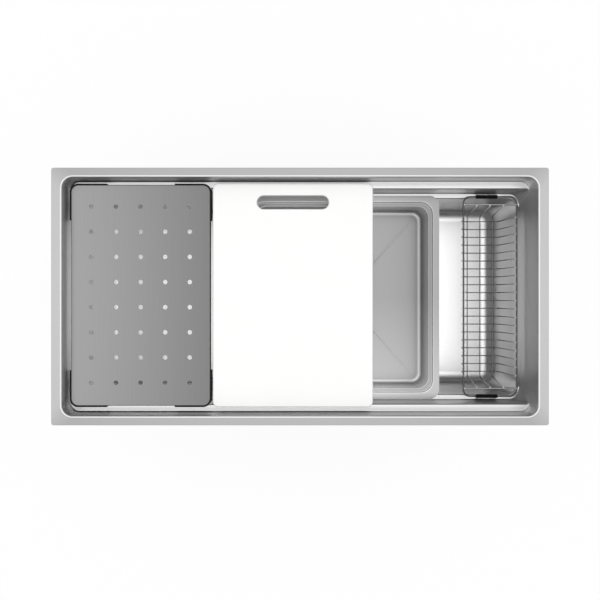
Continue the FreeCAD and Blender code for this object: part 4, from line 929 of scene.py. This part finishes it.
floor_z = frame_box[0].z
edge = FLOOR_SIZE / 2
floor_corners = [(x * edge, y * edge, floor_z) for x, y in ((-1, -1), (1, -1), (1, 1), (-1, 1))]
floor_mesh = bpy.data.meshes.new("floor")
floor_mesh.from_pydata(floor_corners, [], [(0, 1, 2, 3)])
floor = bpy.data.objects.new("floor", floor_mesh)
bpy.context.scene.collection.objects.link(floor)
floor.data.materials.append(floor_finish())
print("floor at", round(floor_z, 4))

# %% [markdown]
# The light is the world itself: bright overhead and dimmer towards the horizon, so that faces
# which look up are bright and upright walls are darker. A few large lamps could do the same, but
# each would show in the steel as a patch with edges.

# %% Light
OVERHEAD = 1.7
HORIZON = 0.72
DIM_UNDER = 0.65
FULL_OVER = 0.97


def studio_world():
    """Broad soft light from above, and dimmer light elsewhere. The camera sees white."""
    world = bpy.data.worlds.new("studio")
    world.use_nodes = True
    tree = world.node_tree
    way = place(tree, "ShaderNodeSeparateXYZ")
    join(tree, place(tree, "ShaderNodeTexCoord").outputs["Generated"], way.inputs[0])
    glow = ramp(tree, way.outputs["Z"], DIM_UNDER, FULL_OVER, HORIZON, OVERHEAD, "SMOOTHSTEP")
    rays = place(tree, "ShaderNodeLightPath")
    strength = place(tree, "ShaderNodeMix", {"B": 1}, data_type="FLOAT")
    join(tree, rays.outputs["Is Camera Ray"], strength.inputs["Factor"])
    join(tree, glow, strength.inputs["A"])
    background = tree.nodes["Background"]
    background.inputs["Color"].default_value = (*grey(1), 1)
    join(tree, strength.outputs["Result"], background.inputs["Strength"])
    return world


bpy.context.scene.world = studio_world()
print("world:", bpy.context.scene.world.name)

# %% [markdown]
# Little of that light gets under the plate and the board, and what shows through the plate's
# holes and the board's slot would be black. On the real sink a bright floor shows there. More
# light from the world would bleach all that lies open. So two soft lamps fill in, both just
# under the plate, one as large as the plate and one as large as the board.

# %% Fill lamps
LAMP_GAP = 2 * MM


def fill_lamp(name, low, high, height, strength):
    """A soft lamp over a rectangle. It shines straight down."""
    lamp = bpy.data.lights.new(name, "AREA")
    lamp.shape = "RECTANGLE"
    lamp.size = high.x - low.x
    lamp.size_y = high.y - low.y
    lamp.energy = strength * math.pi * lamp.size * lamp.size_y
    holder = bpy.data.objects.new(name, lamp)
    holder.location = ((low.x + high.x) / 2, (low.y + high.y) / 2, height)
    bpy.context.scene.collection.objects.link(holder)
    print(f"{name}: {round(lamp.size, 3)} by {round(lamp.size_y, 3)}")


below_plate = plate_low.z - LAMP_GAP
fill_lamp("lamp_under_plate", plate_low, plate_high, below_plate, strength=0.75)
fill_lamp("lamp_under_board", *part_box("cutting_board"), below_plate, strength=0.45)

# %% [markdown]
# The camera looks straight down from above the middle of the sink. How much smaller the bowl's
# floor looks than its mouth gives the camera's height. The lens then follows from the width of
# the rim in the picture. The rim's middle lies a little above the picture's middle, and the
# lens is shifted for that, because a tilted camera would show one wall more than the other.

# %% Camera
CAMERA_HEIGHT = 892 * MM
LENS = 31.35
SENSOR = 36
RIM_CENTRE_ROW = 296.5
IMAGE = 600

camera_data = bpy.data.cameras.new("camera")
camera_data.lens = LENS
camera_data.sensor_width = SENSOR
camera_data.shift_y = (RIM_CENTRE_ROW - IMAGE / 2) / IMAGE
camera = bpy.data.objects.new("camera", camera_data)
camera.location = (0, 0, RIM_TOP + CAMERA_HEIGHT)
bpy.context.scene.collection.objects.link(camera)
bpy.context.scene.camera = camera
bpy.context.scene.view_settings.view_transform = "Standard"
print("camera at", [round(value, 4) for value in camera.location])
